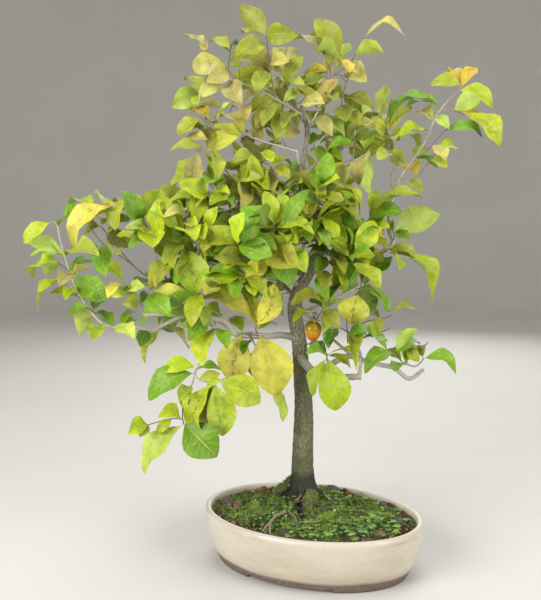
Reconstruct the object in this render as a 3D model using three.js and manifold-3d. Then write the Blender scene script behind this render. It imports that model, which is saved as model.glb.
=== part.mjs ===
// An old princess persimmon trained as a bonsai, with one ripe fruit, in an oval glazed pot.
// Millimetres, +Z up. The origin is under the middle of the whole object, on the surface that its feet stand on.
import * as THREE from 'three';
import { mergeVertices } from 'three/addons/utils/BufferGeometryUtils.js';
import Module from 'manifold-3d';

const wasm = await Module();
wasm.setup();

// Clear space between neighbouring pieces, and the tree's front, turned from the pot's long side.
const gap = 0.35;
const frontTurn = THREE.MathUtils.degToRad(23);

// Pot: an oval of constant wall, with bare clay feet that leave a gap at the front and the back.
const pot = {
  halfLength: 137,
  halfWidth: 99,
  height: 65,
  floorTop: 17,
  segments: 28,
  footInner: 106,
  footHeight: 5,
  footGap: 104,
  drainRadius: 7,
  drainSpacing: 52,
  colour: '#d9d2bf',
};
const screen = { side: 24, thickness: 1, colour: '#3a3d38' };

// Soil: mounded round the trunk and a little below the rim.
const soil = { rimHeight: 58.5, slope: 4, mound: 15, moundRadius: 30, ripple: 0.8, colour: '#55702b' };
const trunkFoot = new THREE.Vector2(-17, 20);

// Stones half sunk in the soil: name, place along and across the pot, size, share above the soil, colour.
const stones = [
  ['stone_left_end', -110, -6, 17, 0.62, '#3c3634'],
  ['stone_left', -93, -14, 12, 0.5, '#6f4332'],
  ['stone_back_left', -84, 46, 16, 0.6, '#5b3629'],
  ['stone_front', -8, -72, 13, 0.45, '#33312f'],
  ['stone_behind_trunk', 2, 70, 22, 0.6, '#44413c'],
  ['stone_back_right', 74, 60, 14, 0.5, '#4b3a33'],
  ['stone_right_end', 106, 14, 15, 0.45, '#41473a'],
  ['stone_right_front', 96, -32, 13, 0.45, '#7c5138'],
];

// The tree is laid out as it is seen from its front: across, up and further away, in millimetres on an upright
// plane through the trunk. A point that lies further away or nearer keeps its place in that view.
const viewer = { across: -50, away: -974, up: 429 };
const plane = 25;

// Wood: the trunk as [across, up, away, thickness], and limbs as [thickness at both ends, points].
const trunk = [
  [-8, 46, 0, 30], [-8, 71, 0, 39], [-9, 86, 0, 33], [-10, 112, 0, 27.5], [-9, 186, 0, 22.8],
  [-14, 260, 0, 18.5], [-20, 316, 0, 17.5], [-6, 350, 0, 15], [11, 384, 0, 15.5], [8, 402, 0, 13],
  [-1, 425, 0, 12], [-13, 465, 0, 10], [-12, 482, 0, 7.5], [-6, 521, 0, 5.4], [-13, 553, 0, 3.8],
];
const limbs = [
  [10, 5, [-14, 272, 0], [-35, 277, -8], [-55, 276, -17], [-92, 278, -30], [-107, 294, -38], [-150, 302, -50],
    [-178, 303, -55], [-205, 302, -60]],
  [5, 3.4, [-152, 302, -50], [-168, 296, -53], [-196, 281, -58]],
  [4.2, 2.8, [-150, 302, -50], [-160, 322, -46], [-175, 341, -42]],
  [7, 3.4, [-12, 463, 0], [-30, 471, -3], [-60, 480, -9], [-84, 493, -14]],
  [5, 3, [-6, 440, 0], [-30, 438, -12], [-70, 444, -25]],
  [5, 3, [-2, 426, 0], [-35, 424, -8], [-93, 425, -18]],
  [8, 4.4, [-14, 338, 0], [-35, 348, -20], [-65, 355, -40], [-138, 368, -48]],
  [4, 2.6, [-12, 480, 0], [-17, 488, -2], [-18, 501, -3]],
  [11, 7.5, [-16, 254, 0], [-9, 244, -12], [0, 234, -16], [15, 227, -18], [35, 225, -18], [62, 225, -20]],
  [8, 4.6, [4, 231, -16], [22, 240, -12], [45, 251, -8], [62, 246, -8], [85, 240, -8], [102, 236, -8],
    [121, 223, -9], [139, 234, -10]],
  [3.6, 2.8, [50, 251, -8], [20, 278, -14], [10, 291, -16], [-12, 306, -14], [-24, 318, -6]],
  [5, 3, [59, 226, -19], [61, 248, -20], [55, 264, -18], [44, 269, -16]],
  [8, 3.6, [11, 384, 0], [28, 391, 10], [65, 380, 24], [84, 379, 28], [98, 390, 31], [93, 405, 34],
    [95, 434, 36], [106, 470, 40]],
  [7, 4, [-12, 466, 0], [10, 473, 6], [48, 486, 17]],
  [5.5, 3, [8, 398, -2], [-12, 392, -22], [-32, 386, -44], [-44, 386, -55]],
  [7, 3.6, [-18, 302, 4], [4, 311, 36], [42, 328, 90]],
  [6.5, 3.4, [-18, 322, 4], [-42, 344, 38], [-90, 368, 92]],
  [6.5, 3.4, [9, 392, 4], [16, 408, 42], [14, 434, 104]],
  [5, 3, [-5, 446, 4], [-25, 456, 34], [-48, 464, 62]],
  [5, 3, [-13, 474, 3], [8, 486, 34], [28, 498, 60]],
  [5, 3, [-92, 278, -28], [-108, 290, 8], [-142, 310, 60]],
];

// Roots that show on the soil, as [thickness at both ends, points along and across the pot and up].
const roots = [
  [9, 2.4, [-22, 4, 80], [-27, -12, 69.5], [-28, -32, 65.5], [-36, -66, 58]],
  [10, 2.6, [-10, 6, 80], [4, 0, 72.5], [28, 10, 66.5], [44, 14, 61]],
  [8, 2.6, [-18, 4, 79], [-16, -14, 71], [-4, -40, 61.5]],
  [10, 3, [-2, 24, 80], [12, 32, 72], [36, 50, 60]],
  [11, 3, [-34, 14, 80], [-46, 6, 71], [-74, -4, 59.5]],
  [9, 3, [-30, 34, 79], [-42, 48, 68], [-54, 56, 60.5]],
];

// Leaf colours, by tone.
const tones = {
  deep: '#4f7316', green: '#6d9223', lime: '#9fb032', yellow: '#d3c63a', gold: '#c7a436', olive: '#8b9038',
  pale: '#b6c46c', tan: '#ab9d5b',
};

// Leafy stems, read from the front: a name, then its twigs as [thickness at the root, points across, up and
// away], then its leaves as [base across, base up, tip across, tip up, breadth as seen, arch, tone].
// A breadth below zero shows the leaf's underside. A leaf grows from the nearest place on its stem's twigs.
const sprays = [
    ["spray_left_reach", [
        [3.0, [-194, 281, -58], [-215, 287, -62], [-235, 289, -64], [-255, 291, -66], [-264, 303, -68],
            [-272, 316, -68], [-287, 336, -70], [-295, 366, -72], [-303, 388, -74], [-308, 412, -72], [-315, 415, -72]],
        [1.8, [-290, 350, -71], [-300, 360, -74], [-309, 366, -76]],
        [1.6, [-264, 303, -68], [-270, 309, -74], [-276, 311, -78]]],
        [[-315, 415, -347, 388, 15, 3, "lime"], [-300, 374, -343, 391, -18, 2, "pale"],
        [-304, 371, -342, 375, 7, 2, "pale"], [-307, 367, -342, 353, 9, 3, "lime"],
        [-308, 366, -320, 347, -14, 1, "pale"], [-291, 352, -306, 339, 16, 1, "tan"],
        [-290, 345, -337, 307, 6, 8, "lime"], [-287, 334, -300, 318, 10, 1, "lime"],
        [-276, 322, -262, 327, 7, 1, "olive"], [-295, 370, -262, 381, 8, 2, "olive"],
        [-293, 358, -262, 366, 7, 1, "green"], [-290, 350, -271, 361, -10, 1, "tan"],
        [-287, 345, -249, 321, 28, 3, "green"], [-266, 307, -283, 282, -20, 2, "pale"],
        [-258, 293, -268, 269, 18, 1, "lime"], [-270, 309, -298, 303, 12, 1, "green"],
        [-268, 309, -256, 319, 12, 1, "green"], [-240, 290, -262, 305, 12, 1, "green"],
        [-232, 289, -215, 308, 10, 1, "green"], [-231, 289, -212, 298, 9, 1, "lime"],
        [-244, 290, -218, 275, 16, 1, "pale"], [-200, 283, -211, 261, 16, 1, "deep"]]],
    ["spray_left_arch", [
        [2.6, [-174, 340, -43], [-181, 354, -45], [-190, 375, -46], [-195, 400, -46], [-198, 415, -46],
            [-212, 424, -48], [-228, 431, -50], [-251, 433, -50], [-271, 426, -52]],
        [1.6, [-179, 350, -45], [-176, 358, -40], [-174, 366, -38]]],
        [[-238, 433, -291, 383, 22, 14, "yellow"], [-226, 431, -272, 412, 10, 3, "gold"],
        [-262, 429, -292, 440, 8, 1, "lime"], [-252, 432, -262, 449, 6, 1, "pale"],
        [-268, 427, -308, 407, 9, 4, "green"], [-205, 419, -240, 441, 14, 3, "olive"],
        [-199, 416, -182, 453, 26, 3, "lime"], [-197, 412, -183, 434, 12, 1, "olive"],
        [-195, 410, -192, 383, 32, 2, "lime"], [-195, 399, -221, 387, 13, 1, "green"],
        [-196, 405, -222, 411, 12, 1, "pale"], [-174, 366, -187, 398, 22, 2, "olive"],
        [-177, 354, -191, 339, 8, 1, "yellow"], [-178, 352, -197, 348, 5, 2, "olive"]]],
    ["spray_left_twigs", [
        [2.4, [-166, 330, -45], [-186, 341, -38], [-200, 350, -41], [-215, 361, -45], [-232, 384, -48],
            [-243, 396, -50], [-255, 410, -52]],
        [1.8, [-215, 361, -45], [-225, 369, -52], [-248, 385, -58], [-258, 395, -61], [-265, 406, -62],
            [-264, 421, -62]]],
        [[-255, 409, -274, 403, 13, 1, "lime"], [-257, 410, -262, 426, 9, 1, "lime"],
        [-245, 399, -223, 385, -20, 2, "olive"], [-243, 402, -217, 419, 11, 2, "lime"],
        [-190, 345, -217, 331, 9, 2, "deep"], [-263, 418, -279, 430, 10, 1, "lime"],
        [-248, 387, -241, 372, 9, 1, "olive"]]],
    ["spray_left_crown", [
        [3.0, [-137, 367, -48], [-138, 388, -50], [-150, 401, -52], [-152, 412, -53], [-151, 424, -54]],
        [2.2, [-138, 377, -49], [-150, 382, -44], [-163, 391, -40], [-178, 401, -36], [-187, 405, -34]]],
        [[-151, 423, -128, 470, 20, -3, "pale"], [-152, 421, -177, 441, 20, 2, "lime"],
        [-150, 420, -119, 443, 22, 2, "olive"], [-151, 415, -184, 402, 20, 4, "olive"],
        [-151, 414, -137, 410, 12, 1, "lime"], [-152, 413, -162, 413, 5, 1, "lime"],
        [-149, 401, -127, 402, 14, 1, "tan"], [-152, 424, -158, 453, 8, 2, "lime"],
        [-150, 418, -119, 428, 8, 1, "green"], [-152, 423, -177, 424, 10, 4, "tan"],
        [-143, 394, -166, 391, 8, 2, "deep"], [-155, 385, -171, 362, 8, -2, "olive"],
        [-159, 388, -134, 396, 8, 2, "deep"], [-180, 402, -196, 420, 13, 1, "lime"]]],
    ["spray_left_fork", [
        [2.2, [-206, 303, -60], [-213, 322, -60], [-221, 333, -62], [-229, 341, -64]]],
        [[-228, 340, -261, 363, 12, 5, "lime"], [-228, 338, -249, 326, 9, 1, "yellow"],
        [-225, 336, -243, 325, 14, 1, "pale"], [-221, 333, -205, 337, 12, 1, "pale"],
        [-212, 318, -228, 316, 15, 1, "olive"], [-211, 316, -196, 327, 12, 1, "green"],
        [-214, 323, -236, 331, 11, 2, "lime"]]],
    ["spray_low_left", [
        [3.4, [-122, 299, -44], [-120, 286, -54], [-122, 272, -60], [-130, 258, -64], [-138, 242, -68],
            [-143, 228, -70], [-135, 220, -74], [-120, 219, -78], [-104, 223, -80]],
        [2.2, [-143, 230, -70], [-148, 213, -74], [-157, 197, -78], [-159, 180, -80], [-158, 165, -82]],
        [1.8, [-158, 172, -81], [-175, 172, -84], [-190, 168, -86], [-207, 163, -88]]],
        [[-143, 229, -204, 198, 22, 10, "green"], [-142, 234, -183, 231, 14, 3, "lime"],
        [-151, 209, -166, 195, 12, 1, "olive"], [-148, 214, -153, 189, 8, 1, "deep"],
        [-129, 219, -142, 154, 18, 4, "lime"], [-124, 219, -134, 155, 20, 3, "deep"],
        [-113, 221, -110, 151, 28, 3, "olive"], [-157, 168, -118, 124, 34, 4, "green"],
        [-159, 164, -212, 104, 18, 5, "pale"], [-166, 173, -191, 179, 12, 1, "lime"],
        [-200, 165, -225, 152, 16, 1, "lime"], [-195, 166, -183, 152, 8, 1, "olive"],
        [-184, 169, -192, 154, 8, 1, "green"], [-106, 222, -65, 193, 26, 5, "lime"],
        [-108, 223, -64, 215, 14, 3, "lime"], [-124, 268, -131, 237, 16, 1, "lime"],
        [-139, 240, -160, 258, 13, 2, "green"]]],
    ["spray_yellow_front", [
        [2.8, [-50, 277, -14], [-58, 277, -22], [-64, 278, -26], [-76, 281, -31], [-88, 278, -35]],
        [1.8, [-64, 278, -26], [-68, 283, -34], [-67, 289, -38]],
        [1.6, [-76, 281, -31], [-68, 262, -22], [-57, 236, -16], [-49, 213, -14]]],
        [[-88, 277, -96, 216, 38, 4, "olive"], [-63, 277, -42, 200, 48, 4, "yellow"],
        [-49, 214, -35, 168, 12, 1, "green"], [-58, 238, -69, 220, 14, 1, "pale"],
        [-73, 272, -84, 252, 10, 1, "green"], [-68, 288, -137, 326, 17, 12, "yellow"],
        [-68, 287, -74, 324, 20, 2, "yellow"], [-67, 288, -45, 341, 26, -6, "yellow"],
        [-66, 283, -41, 295, 12, 1, "lime"], [-85, 279, -98, 301, 16, 1, "lime"],
        [-64, 252, -46, 240, 12, 1, "green"]]],
    ["spray_mid_left", [
        [2.6, [-131, 301, -44], [-136, 312, -54], [-140, 322, -62], [-136, 331, -68]]],
        [[-141, 323, -152, 381, 33, 3, "pale"], [-137, 329, -84, 351, 20, 4, "lime"],
        [-137, 316, -131, 290, 13, 1, "pale"], [-141, 320, -177, 332, 18, 3, "green"],
        [-139, 318, -164, 300, 24, 2, "deep"], [-136, 331, -111, 343, -13, 2, "pale"],
        [-140, 321, -203, 313, 22, 6, "yellow"], [-139, 326, -197, 335, 11, 5, "olive"],
        [-135, 310, -112, 303, 14, 2, "lime"]]],
    ["spray_mid_front", [
        [2.6, [-67, 356, -40], [-72, 366, -56], [-84, 374, -66], [-93, 384, -72]],
        [2.0, [-71, 363, -53], [-78, 353, -66], [-83, 345, -72]]],
        [[-84, 347, -56, 378, 21, -3, "yellow"], [-78, 351, -69, 327, 18, 1, "lime"],
        [-81, 373, -117, 371, 20, 3, "olive"], [-91, 384, -127, 371, 8, -2, "green"],
        [-80, 352, -130, 355, 12, 3, "green"], [-71, 363, -44, 346, 14, 2, "green"],
        [-87, 380, -60, 388, 14, 2, "lime"], [-92, 384, -136, 387, 16, 7, "lime"],
        [-81, 347, -56, 325, 14, 2, "olive"], [-83, 345, -92, 319, 14, 1, "green"],
        [-77, 370, -60, 397, 12, 2, "lime"]]],
    ["spray_mid_drop", [
        [2.6, [-92, 425, -18], [-100, 428, -23], [-97, 415, -28], [-98, 405, -30], [-103, 391, -32]]],
        [[-101, 427, -105, 474, 16, 2, "pale"], [-99, 427, -129, 408, 12, 7, "lime"],
        [-97, 413, -120, 411, 22, 2, "pale"], [-97, 416, -89, 401, 9, 1, "lime"],
        [-99, 404, -62, 408, 12, 4, "green"], [-101, 397, -74, 392, 12, 2, "green"],
        [-102, 394, -135, 384, 15, 4, "lime"], [-99, 404, -118, 395, 13, 1, "deep"],
        [-99, 427, -78, 414, 11, 2, "lime"]]],
    ["spray_upper_left", [
        [2.8, [-69, 444, -25], [-75, 450, -27], [-88, 459, -30], [-95, 466, -33], [-105, 480, -36],
            [-112, 490, -38], [-120, 498, -40], [-129, 502, -42], [-139, 499, -43]],
        [1.6, [-95, 466, -33], [-107, 448, -40], [-127, 449, -44]],
        [1.4, [-110, 448, -41], [-118, 454, -46], [-125, 463, -48]],
        [1.6, [-127, 502, -42], [-122, 517, -44], [-123, 536, -44]]],
        [[-137, 499, -143, 455, 22, 2, "tan"], [-139, 499, -171, 453, 10, -6, "olive"],
        [-135, 500, -110, 450, 5, 2, "lime"], [-122, 499, -112, 470, 14, 1, "olive"],
        [-96, 467, -84, 432, 10, 2, "tan"], [-84, 457, -71, 432, 16, 1, "olive"],
        [-90, 461, -65, 470, 12, 2, "olive"], [-104, 479, -72, 481, 16, 3, "olive"],
        [-103, 477, -78, 488, 8, 1, "lime"], [-129, 502, -171, 501, 10, 3, "olive"],
        [-127, 504, -136, 535, 18, 2, "olive"], [-124, 511, -150, 516, 10, 1, "tan"],
        [-117, 494, -119, 478, 11, 1, "olive"], [-123, 535, -148, 548, 10, 2, "gold"],
        [-126, 449, -146, 458, 13, 1, "lime"], [-107, 449, -96, 436, 9, 1, "green"]]],
    ["spray_upper_gold", [
        [2.8, [-17, 499, -3], [-35, 503, -8], [-50, 508, -12], [-65, 513, -16], [-80, 519, -18], [-86, 515, -20]],
        [1.6, [-50, 508, -12], [-60, 499, -20], [-72, 494, -24]]],
        [[-85, 516, -128, 501, 20, 4, "yellow"], [-82, 518, -116, 541, 12, 6, "yellow"],
        [-81, 519, -122, 522, 8, 2, "pale"], [-62, 511, -79, 526, 14, 1, "tan"],
        [-71, 495, -94, 489, 14, 1, "olive"], [-40, 504, -52, 524, 14, 1, "olive"],
        [-62, 498, -48, 486, 12, 1, "lime"]]],
    ["spray_inner_left", [
        [2.0, [-44, 474, -8], [-50, 481, -16], [-56, 485, -20], [-64, 486, -24]]],
        [[-51, 482, -24, 484, 8, 4, "lime"], [-58, 485, -86, 478, 9, 3, "lime"],
        [-63, 486, -84, 468, 16, 2, "olive"], [-48, 479, -27, 466, 13, 1, "olive"],
        [-60, 485, -66, 462, 11, 1, "green"]]],
    ["spray_top_left", [
        [3.0, [-12, 540, 0], [-25, 548, -4], [-38, 557, -8], [-50, 563, -12], [-62, 570, -16], [-80, 577, -20],
            [-100, 583, -24], [-112, 588, -26], [-120, 596, -28], [-123, 608, -28], [-127, 618, -28]],
        [1.8, [-82, 578, -20], [-95, 588, -28], [-100, 597, -32], [-97, 617, -34]],
        [1.6, [-85, 579, -21], [-92, 562, -16], [-98, 545, -14]],
        [1.6, [-104, 584, -25], [-118, 573, -22], [-130, 564, -21]],
        [2.4, [-38, 557, -8], [-47, 575, -6], [-48, 590, -5], [-51, 605, -4], [-55, 632, -3]],
        [1.8, [-25, 548, -4], [-30, 565, 4], [-33, 588, 8]]],
        [[-127, 618, -153, 633, 7, 2, "tan"], [-126, 616, -120, 629, 6, 1, "tan"],
        [-97, 616, -119, 629, 12, 1, "olive"], [-98, 612, -90, 626, 7, 1, "deep"],
        [-100, 598, -145, 598, 24, 4, "tan"], [-98, 592, -124, 581, 20, 2, "tan"],
        [-104, 584, -133, 564, 20, 3, "tan"], [-130, 564, -167, 551, 24, 5, "pale"],
        [-129, 565, -152, 588, 14, 2, "lime"], [-129, 564, -137, 553, 8, 1, "lime"],
        [-98, 547, -148, 540, 9, 4, "tan"], [-96, 552, -78, 541, 9, 2, "tan"],
        [-55, 631, -86, 668, -24, 3, "olive"], [-55, 627, -84, 641, 17, 2, "olive"],
        [-53, 618, -92, 612, 20, 3, "olive"], [-54, 628, -21, 633, 24, 4, "olive"],
        [-33, 587, -30, 618, 31, 2, "tan"], [-50, 600, -100, 602, 13, 6, "olive"],
        [-49, 596, -98, 574, 25, 4, "olive"], [-48, 589, -69, 567, 18, 2, "olive"],
        [-44, 569, -30, 580, 15, 1, "tan"], [-64, 571, -82, 559, 8, 1, "tan"],
        [-32, 553, -14, 568, 14, 2, "pale"], [-20, 546, -36, 526, 14, 1, "olive"],
        [-45, 561, -76, 545, 16, 3, "olive"], [-36, 556, -60, 532, 16, 2, "olive"],
        [-112, 588, -112, 606, 13, 1, "olive"], [-51, 606, -30, 605, 16, 1, "tan"]]],
    ["spray_top_centre", [
        [3.2, [-7, 524, 0], [3, 540, 6], [10, 560, 10], [20, 580, 14], [25, 600, 16], [33, 611, 16]],
        [1.8, [19, 578, 14], [21, 592, 8], [15, 605, 4]],
        [1.8, [22, 586, 15], [42, 600, 24], [50, 612, 28], [60, 630, 30]]],
        [[34, 611, 2, 652, 26, 4, "olive"], [31, 609, 5, 622, -20, 2, "pale"],
        [60, 629, 111, 634, 8, 11, "tan"], [47, 607, 84, 613, -18, 6, "pale"],
        [28, 604, 44, 592, 7, 1, "gold"], [15, 604, -24, 631, 12, 6, "tan"],
        [16, 603, 1, 638, 14, 2, "olive"], [20, 594, -9, 586, 12, 2, "yellow"],
        [6, 549, 34, 566, 14, 3, "olive"], [3, 541, 23, 518, 17, 2, "tan"],
        [10, 560, -15, 567, 14, 2, "olive"], [14, 570, 28, 557, 12, 1, "olive"],
        [38, 597, 62, 590, 14, 2, "tan"]]],
    ["spray_top_inner", [
        [2.6, [-9, 497, 0], [4, 505, 8], [12, 515, 13], [30, 530, 18], [33, 550, 20], [36, 565, 20], [43, 588, 21]]],
        [[34, 556, 40, 534, 22, 1, "olive"], [42, 585, 65, 580, 14, 2, "tan"],
        [33, 549, 56, 527, 14, 2, "olive"], [28, 528, -3, 524, 10, 3, "olive"],
        [35, 562, 14, 578, 13, 1, "olive"], [13, 516, -8, 508, 12, 1, "green"],
        [31, 538, 52, 548, 13, 2, "olive"]]],
    ["spray_right_top", [
        [3.2, [105, 468, 40], [122, 490, 42], [135, 512, 44], [150, 545, 48], [165, 562, 50], [177, 575, 52]],
        [2.0, [153, 549, 48], [168, 547, 45], [180, 543, 42]],
        [1.8, [122, 490, 42], [137, 500, 36], [155, 520, 30], [170, 533, 28]]],
        [[156, 552, 89, 533, 9, 16, "green"], [153, 549, 110, 550, 6, 6, "green"],
        [175, 573, 139, 576, 16, 6, "olive"], [177, 575, 162, 597, 16, 1, "gold"],
        [176, 574, 193, 596, 16, 1, "gold"], [172, 570, 216, 553, 18, 5, "lime"],
        [167, 548, 200, 560, -22, 5, "pale"], [174, 545, 203, 533, 8, 3, "gold"],
        [179, 543, 226, 504, 22, 6, "lime"], [145, 534, 123, 549, 14, 2, "tan"],
        [144, 508, 158, 487, 15, 1, "tan"], [157, 522, 205, 517, 13, 7, "green"],
        [121, 488, 150, 482, 7, 2, "deep"], [132, 507, 126, 484, -20, 1, "pale"],
        [139, 521, 101, 515, 10, 4, "lime"], [148, 541, 162, 528, 14, 1, "pale"]]],
    ["spray_right_side", [
        [2.4, [101, 459, 38], [113, 463, 32], [128, 472, 28], [138, 485, 24], [149, 499, 20]]],
        [[114, 464, 132, 452, 12, 1, "olive"], [126, 471, 106, 481, 12, 2, "gold"],
        [148, 498, 172, 503, 13, 2, "lime"], [140, 488, 162, 478, 12, 2, "olive"]]],
    ["spray_right_inner", [
        [2.4, [98, 446, 37], [95, 466, 44], [98, 485, 48], [92, 500, 52], [90, 515, 54], [87, 530, 55], [74, 545, 55]]],
        [[92, 502, 111, 482, -20, 1, "pale"], [90, 519, 119, 549, 16, 3, "yellow"],
        [88, 525, 99, 549, 10, 1, "lime"], [90, 513, 131, 505, 8, 6, "lime"],
        [89, 520, 72, 532, 10, 1, "yellow"], [90, 512, 51, 481, 22, 5, "lime"],
        [93, 498, 77, 488, 15, 1, "pale"], [75, 544, 38, 562, 14, 5, "olive"],
        [80, 539, 87, 576, 16, -3, "pale"]]],
    ["spray_right_limb", [
        [2.6, [46, 485, 17], [56, 490, 20], [64, 496, 23], [70, 504, 26]],
        [1.8, [49, 487, 18], [50, 505, 20], [56, 520, 22]],
        [1.8, [50, 490, 18], [38, 486, 4], [26, 484, -4], [8, 482, -12]]],
        [[50, 509, 20, 505, 10, 3, "green"], [51, 510, 20, 533, 14, 4, "green"],
        [37, 486, 12, 497, 12, 2, "green"], [63, 495, 55, 460, 18, 1, "tan"],
        [26, 484, 39, 455, 24, 1, "tan"], [69, 502, 68, 448, -20, 1, "pale"],
        [9, 482, 3, 505, 14, 1, "green"], [9, 482, 7, 454, 12, 1, "green"],
        [55, 518, 74, 529, 13, 2, "olive"]]],
    ["spray_centre_front", [
        [2.6, [-42, 386, -54], [-47, 389, -60], [-46, 402, -66], [-45, 412, -68]]],
        [[-46, 411, -57, 452, 18, 1, "lime"], [-45, 412, -30, 448, 20, 2, "lime"],
        [-46, 408, -65, 433, 16, 2, "lime"], [-46, 407, -47, 437, 4, 1, "yellow"],
        [-46, 406, 4, 404, 14, 7, "lime"], [-47, 391, -18, 362, 34, -4, "olive"],
        [-46, 389, -25, 338, 29, 2, "green"], [-46, 398, -13, 389, 16, 4, "lime"],
        [-45, 411, -11, 419, 6, 10, "lime"], [-46, 396, -70, 387, 15, 2, "green"]]],
    ["spray_centre", [
        [2.8, [-4, 434, -2], [2, 436, -14], [6, 441, -22], [17, 450, -30]],
        [2.0, [1, 436, -12], [-3, 426, -24], [-3, 416, -30]],
        [1.6, [-3, 420, -28], [4, 410, -36], [3, 402, -38]]],
        [[-3, 417, -5, 443, 17, 1, "yellow"], [-3, 418, -21, 429, 9, 3, "gold"],
        [-3, 419, 13, 433, 9, 3, "yellow"], [2, 412, 62, 410, 13, 20, "olive"],
        [3, 409, 25, 405, 11, 2, "yellow"], [16, 449, 59, 421, 7, 15, "lime"],
        [8, 442, 41, 436, 11, 4, "olive"], [5, 440, -38, 457, 14, 18, "olive"],
        [3, 404, 20, 387, 13, 3, "green"], [3, 403, -22, 398, 14, 2, "green"],
        [3, 403, 10, 389, 9, 1, "lime"], [-2, 424, -24, 410, 12, 2, "green"],
        [2, 437, -20, 446, 12, 2, "green"]]],
    ["spray_right_centre", [
        [2.4, [45, 387, 16], [53, 396, 6], [59, 405, 0], [67, 417, -6]],
        [1.6, [52, 395, 8], [42, 396, -2], [32, 398, -8]]],
        [[67, 417, 137, 443, 11, 10, "olive"], [66, 414, 112, 429, 18, 3, "green"],
        [56, 400, 92, 398, 22, 2, "yellow"], [59, 406, 41, 386, -18, 2, "pale"],
        [42, 396, 26, 385, 10, 1, "pale"], [33, 398, 23, 420, 11, 1, "green"],
        [50, 393, 40, 346, 27, 2, "gold"], [58, 403, 44, 419, 14, 1, "lime"]]],
    ["spray_right_pale", [
        [2.2, [97, 393, 30], [100, 398, 20], [97, 406, 12]]],
        [[97, 404, 154, 424, -32, 4, "pale"], [98, 402, 118, 392, 12, 1, "green"],
        [98, 401, 84, 412, 13, 1, "olive"]]],
    ["spray_right_drop", [
        [2.4, [87, 379, 27], [80, 374, 20], [72, 362, 12], [65, 352, 6], [62, 340, 2], [57, 328, -2]],
        [1.8, [80, 374, 20], [86, 378, 10], [94, 383, 4]]],
        [[57, 329, 49, 290, 36, 2, "yellow"], [66, 354, 64, 388, 25, -2, "green"],
        [63, 344, 98, 373, 14, -4, "green"], [62, 341, 57, 364, 9, -1, "green"],
        [88, 379, 149, 312, 16, 16, "lime"], [93, 382, 128, 371, 12, 5, "olive"],
        [92, 382, 104, 356, 5, 2, "lime"]]],
    ["spray_trunk_twig", [
        [2.4, [13, 381, -4], [21, 375, -15], [30, 370, -19], [45, 366, -20], [56, 367, -21]]],
        [[38, 367, -15, 357, 7, 13, "green"], [18, 377, -7, 384, 5, 2, "lime"],
        [28, 371, 40, 357, 11, 1, "olive"], [54, 367, 66, 380, 11, 1, "green"]]],
    ["spray_spoon", [
        [2.2, [6, 294, -18], [11, 303, -26], [16, 312, -31], [22, 320, -34]]],
        [[21, 319, 6, 349, 14, -2, "green"], [22, 320, 57, 334, 6, 7, "green"],
        [11, 303, 38, 318, 14, 4, "pale"], [19, 316, -1, 327, 8, 3, "yellow"],
        [15, 310, -3, 321, 10, 1, "deep"], [13, 307, 34, 286, 20, 2, "olive"],
        [18, 314, -21, 322, 10, 2, "olive"], [9, 299, 17, 283, 7, 1, "pale"],
        [9, 300, -22, 297, 5, 2, "lime"]]],
    ["spray_right_low", [
        [2.6, [45, 269, -16], [44, 281, -12], [43, 298, -8]],
        [2.0, [44, 280, -12], [52, 283, -8], [60, 290, -4], [72, 295, 0], [90, 298, 4], [98, 302, 6]],
        [1.6, [44, 281, -12], [35, 286, -18], [18, 286, -24]],
        [2.0, [46, 271, -16], [59, 272, -20], [78, 279, -22], [97, 285, -24]]],
        [[98, 302, 133, 304, 8, 7, "pale"], [76, 296, 82, 276, 20, 1, "olive"],
        [85, 297, 64, 300, 8, 1, "olive"], [53, 284, 61, 268, 18, 1, "olive"],
        [45, 278, 53, 252, 12, 1, "lime"], [61, 273, 93, 260, 8, 6, "green"],
        [46, 282, 67, 279, 15, 2, "green"], [20, 286, 12, 261, 14, 1, "green"],
        [36, 286, 19, 263, 14, 2, "deep"], [43, 297, 30, 309, 12, 1, "green"],
        [72, 278, 80, 266, 10, 1, "green"]]],
    ["spray_right_hang", [
        [2.6, [22, 240, -14], [19, 247, -24], [20, 254, -30]]],
        [[21, 251, 31, 182, 37, 3, "lime"], [18, 249, 4, 200, 16, 2, "lime"],
        [20, 254, 54, 230, 5, 15, "lime"], [20, 252, 49, 237, 9, 3, "olive"],
        [19, 251, -4, 257, 9, 1, "green"], [19, 253, -5, 268, 12, 1, "deep"]]],
    ["spray_right_tip", [
        [2.6, [101, 238, -9], [115, 241, -13], [127, 238, -15], [135, 243, -16], [138, 249, -16]],
        [1.8, [115, 241, -13], [107, 249, -18], [104, 257, -20]]],
        [[104, 256, 131, 284, -14, 3, "pale"], [105, 253, 134, 270, 16, 3, "green"],
        [115, 242, 130, 267, 18, 1, "lime"], [134, 243, 118, 260, 14, 1, "olive"],
        [138, 248, 141, 266, 12, 1, "olive"], [138, 247, 180, 230, 16, 10, "green"],
        [105, 254, 66, 233, 18, 5, "green"], [112, 244, 86, 257, 12, 3, "lime"],
        [118, 241, 103, 229, 10, 1, "green"]]],
];

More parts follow.
